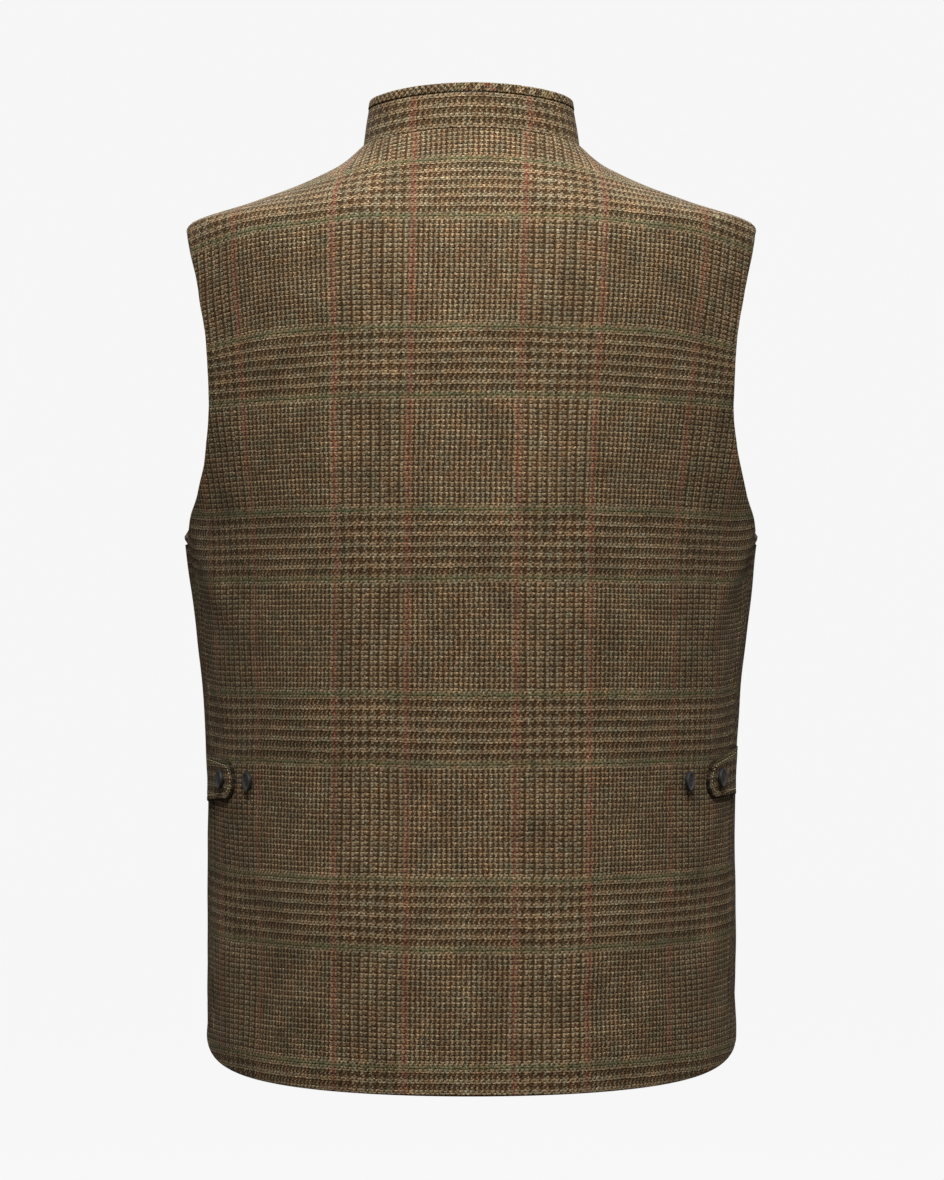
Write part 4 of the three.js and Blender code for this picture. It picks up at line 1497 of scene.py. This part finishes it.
class WaistcoatStudio(bpy.types.PropertyGroup):
    """Soft studio light."""

    key_power: bpy.props.FloatProperty(
        name="Key light", description="Power of the large soft light above the camera",
        default=68.0, min=0.0, unit="POWER")
    top_power: bpy.props.FloatProperty(
        name="Top light", description="Power of the soft light over the shoulders",
        default=44.0, min=0.0, unit="POWER")
    fill_power: bpy.props.FloatProperty(
        name="Far light", description="Power of the soft light on the far side",
        default=36.0, min=0.0, unit="POWER")
    surround: bpy.props.FloatProperty(
        name="Surround", description="Brightness of the light that comes from all round",
        default=0.12, min=0.0, subtype="FACTOR")
    paper: bpy.props.FloatProperty(
        name="Paper", description="Brightness of the pale floor and backdrop",
        default=0.92, min=0.0, subtype="FACTOR")


class WAISTCOAT_OT_back(bpy.types.Operator):
    """Cut the back panel from side seam to side seam"""

    bl_idname = "waistcoat.back"
    bl_label = "Back"

    def execute(self, context):
        piece = panel_piece(
            "tweed_back", (lambda levels: -back_edge(levels), back_edge), (True, True), 118,
            0.0, 95.0, no_drop, 4, tweed("tweed_body"),
        )
        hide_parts("back")
        return {"FINISHED"}


class WAISTCOAT_OT_fronts(bpy.types.Operator):
    """Cut the two fronts, the left one lapping over the right"""

    bl_idname = "waistcoat.fronts"
    bl_label = "Fronts"

    def execute(self, context):
        left = panel_piece(
            "tweed_front_left",
            (lambda levels: -lap_turn(levels), lambda levels: -front_edge(levels)),
            (False, True), 70, -CENTRE_FRONT, 115.0, no_drop, 5, tweed("tweed_front"),
        )
        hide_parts("front_left")
        right = panel_piece(
            "tweed_front_right", (front_edge, lap_turn), (True, False), 70,
            CENTRE_FRONT, 115.0, lap_drop, 6, tweed("tweed_front"),
        )
        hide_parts("front_right")
        return {"FINISHED"}


class WAISTCOAT_OT_collar(bpy.types.Operator):
    """Cut the stand collar and fold its bias binding over the edge"""

    bl_idname = "waistcoat.collar"
    bl_label = "Collar and binding"

    def execute(self, context):
        collar = collar_piece(tweed("tweed_collar"))
        width, length = COLLAR_WALL_HEIGHT * MILLIMETRE, 2 * COLLAR_END * MILLIMETRE
        binding = binding_piece(tweed("tweed_binding"))
        around = (2 * COLLAR_END + 2 * COLLAR_WALL_HEIGHT) * MILLIMETRE
        return {"FINISHED"}


class WAISTCOAT_OT_tabs(bpy.types.Operator):
    """Cut the two waist tabs"""

    bl_idname = "waistcoat.tabs"
    bl_label = "Waist tabs"

    def execute(self, context):
        for tab in TABS:
            piece = tab_piece(tab, tweed("tweed_tab"))
        return {"FINISHED"}


class WAISTCOAT_OT_stitches(bpy.types.Operator):
    """Sew round the tabs' edges and round the buttonholes"""

    bl_idname = "waistcoat.stitches"
    bl_label = "Stitches and buttonholes"

    def execute(self, context):
        threads = context.scene.waistcoat_cloth
        tab_stitches(thread_looks("edge_thread", threads.edge_thread))
        buttonhole_pieces(thread_looks("buttonhole_thread", threads.button_thread))
        return {"FINISHED"}


class WAISTCOAT_OT_buttons(bpy.types.Operator):
    """Turn the ten horn buttons and sew them on"""

    bl_idname = "waistcoat.buttons"
    bl_label = "Buttons"

    def execute(self, context):
        horn = horn_looks()
        for name, place in button_places().items():
            button_piece(name, place, horn)
        threads = context.scene.waistcoat_cloth
        button_threads(thread_looks("button_thread", threads.button_thread))
        return {"FINISHED"}


class WAISTCOAT_OT_stage(bpy.types.Operator):
    """Set up the pale floor and backdrop, the soft lights and the camera"""

    bl_idname = "waistcoat.stage"
    bl_label = "Studio"

    def execute(self, context):
        studio = context.scene.waistcoat_studio
        camera_piece()
        paper = Looks("pale_paper")
        paper.set(Base_Color=(0.02, 0.02, 0.02, 1), Roughness=1.0, Specular_IOR_Level=0.0)
        paper.set(Emission_Color=(1, 1, 1, 1), Emission_Strength=studio.paper)
        cove_piece(paper.material)
        world = bpy.data.worlds.new("surround")
        world.use_nodes = True
        background = world.node_tree.nodes["Background"]
        background.inputs["Color"].default_value = (1, 1, 1, 1)
        background.inputs["Strength"].default_value = studio.surround
        context.scene.world = world
        soft_light("key", *KEY_LIGHT, studio.key_power)
        soft_light("top", *TOP_LIGHT, studio.top_power)
        soft_light("far", *FAR_LIGHT, studio.fill_power)
        context.scene.view_settings.view_transform = "Standard"
        return {"FINISHED"}


class WAISTCOAT_PT_sewing(bpy.types.Panel):
    """Pieces of the waistcoat, in the order in which they are made"""

    bl_idname = "WAISTCOAT_PT_sewing"
    bl_label = "Waistcoat"
    bl_space_type = "VIEW_3D"
    bl_region_type = "UI"
    bl_category = "Waistcoat"

    def draw(self, context):
        for operator in OPERATORS:
            self.layout.operator(operator.bl_idname)
        for group in (context.scene.waistcoat_cloth, context.scene.waistcoat_studio):
            for name in group.bl_rna.properties.keys():
                if name not in ("rna_type", "name"):
                    self.layout.prop(group, name)


OPERATORS = (
    WAISTCOAT_OT_stage,
    WAISTCOAT_OT_back,
    WAISTCOAT_OT_fronts,
    WAISTCOAT_OT_collar,
    WAISTCOAT_OT_tabs,
    WAISTCOAT_OT_stitches,
    WAISTCOAT_OT_buttons,
)
CLASSES = (WaistcoatCloth, WaistcoatStudio, *OPERATORS, WAISTCOAT_PT_sewing)


def register():
    for kind in CLASSES:
        bpy.utils.register_class(kind)
    bpy.types.Scene.waistcoat_cloth = bpy.props.PointerProperty(type=WaistcoatCloth)
    bpy.types.Scene.waistcoat_studio = bpy.props.PointerProperty(type=WaistcoatStudio)


def unregister():
    del bpy.types.Scene.waistcoat_cloth
    del bpy.types.Scene.waistcoat_studio
    for kind in reversed(CLASSES):
        bpy.utils.unregister_class(kind)


def main():
    register()
    bpy.ops.waistcoat.stage()
    bpy.ops.waistcoat.back()
    bpy.ops.waistcoat.fronts()
    bpy.ops.waistcoat.collar()
    bpy.ops.waistcoat.tabs()
    bpy.ops.waistcoat.stitches()
    bpy.ops.waistcoat.buttons()


if __name__ == "__main__":
    main()
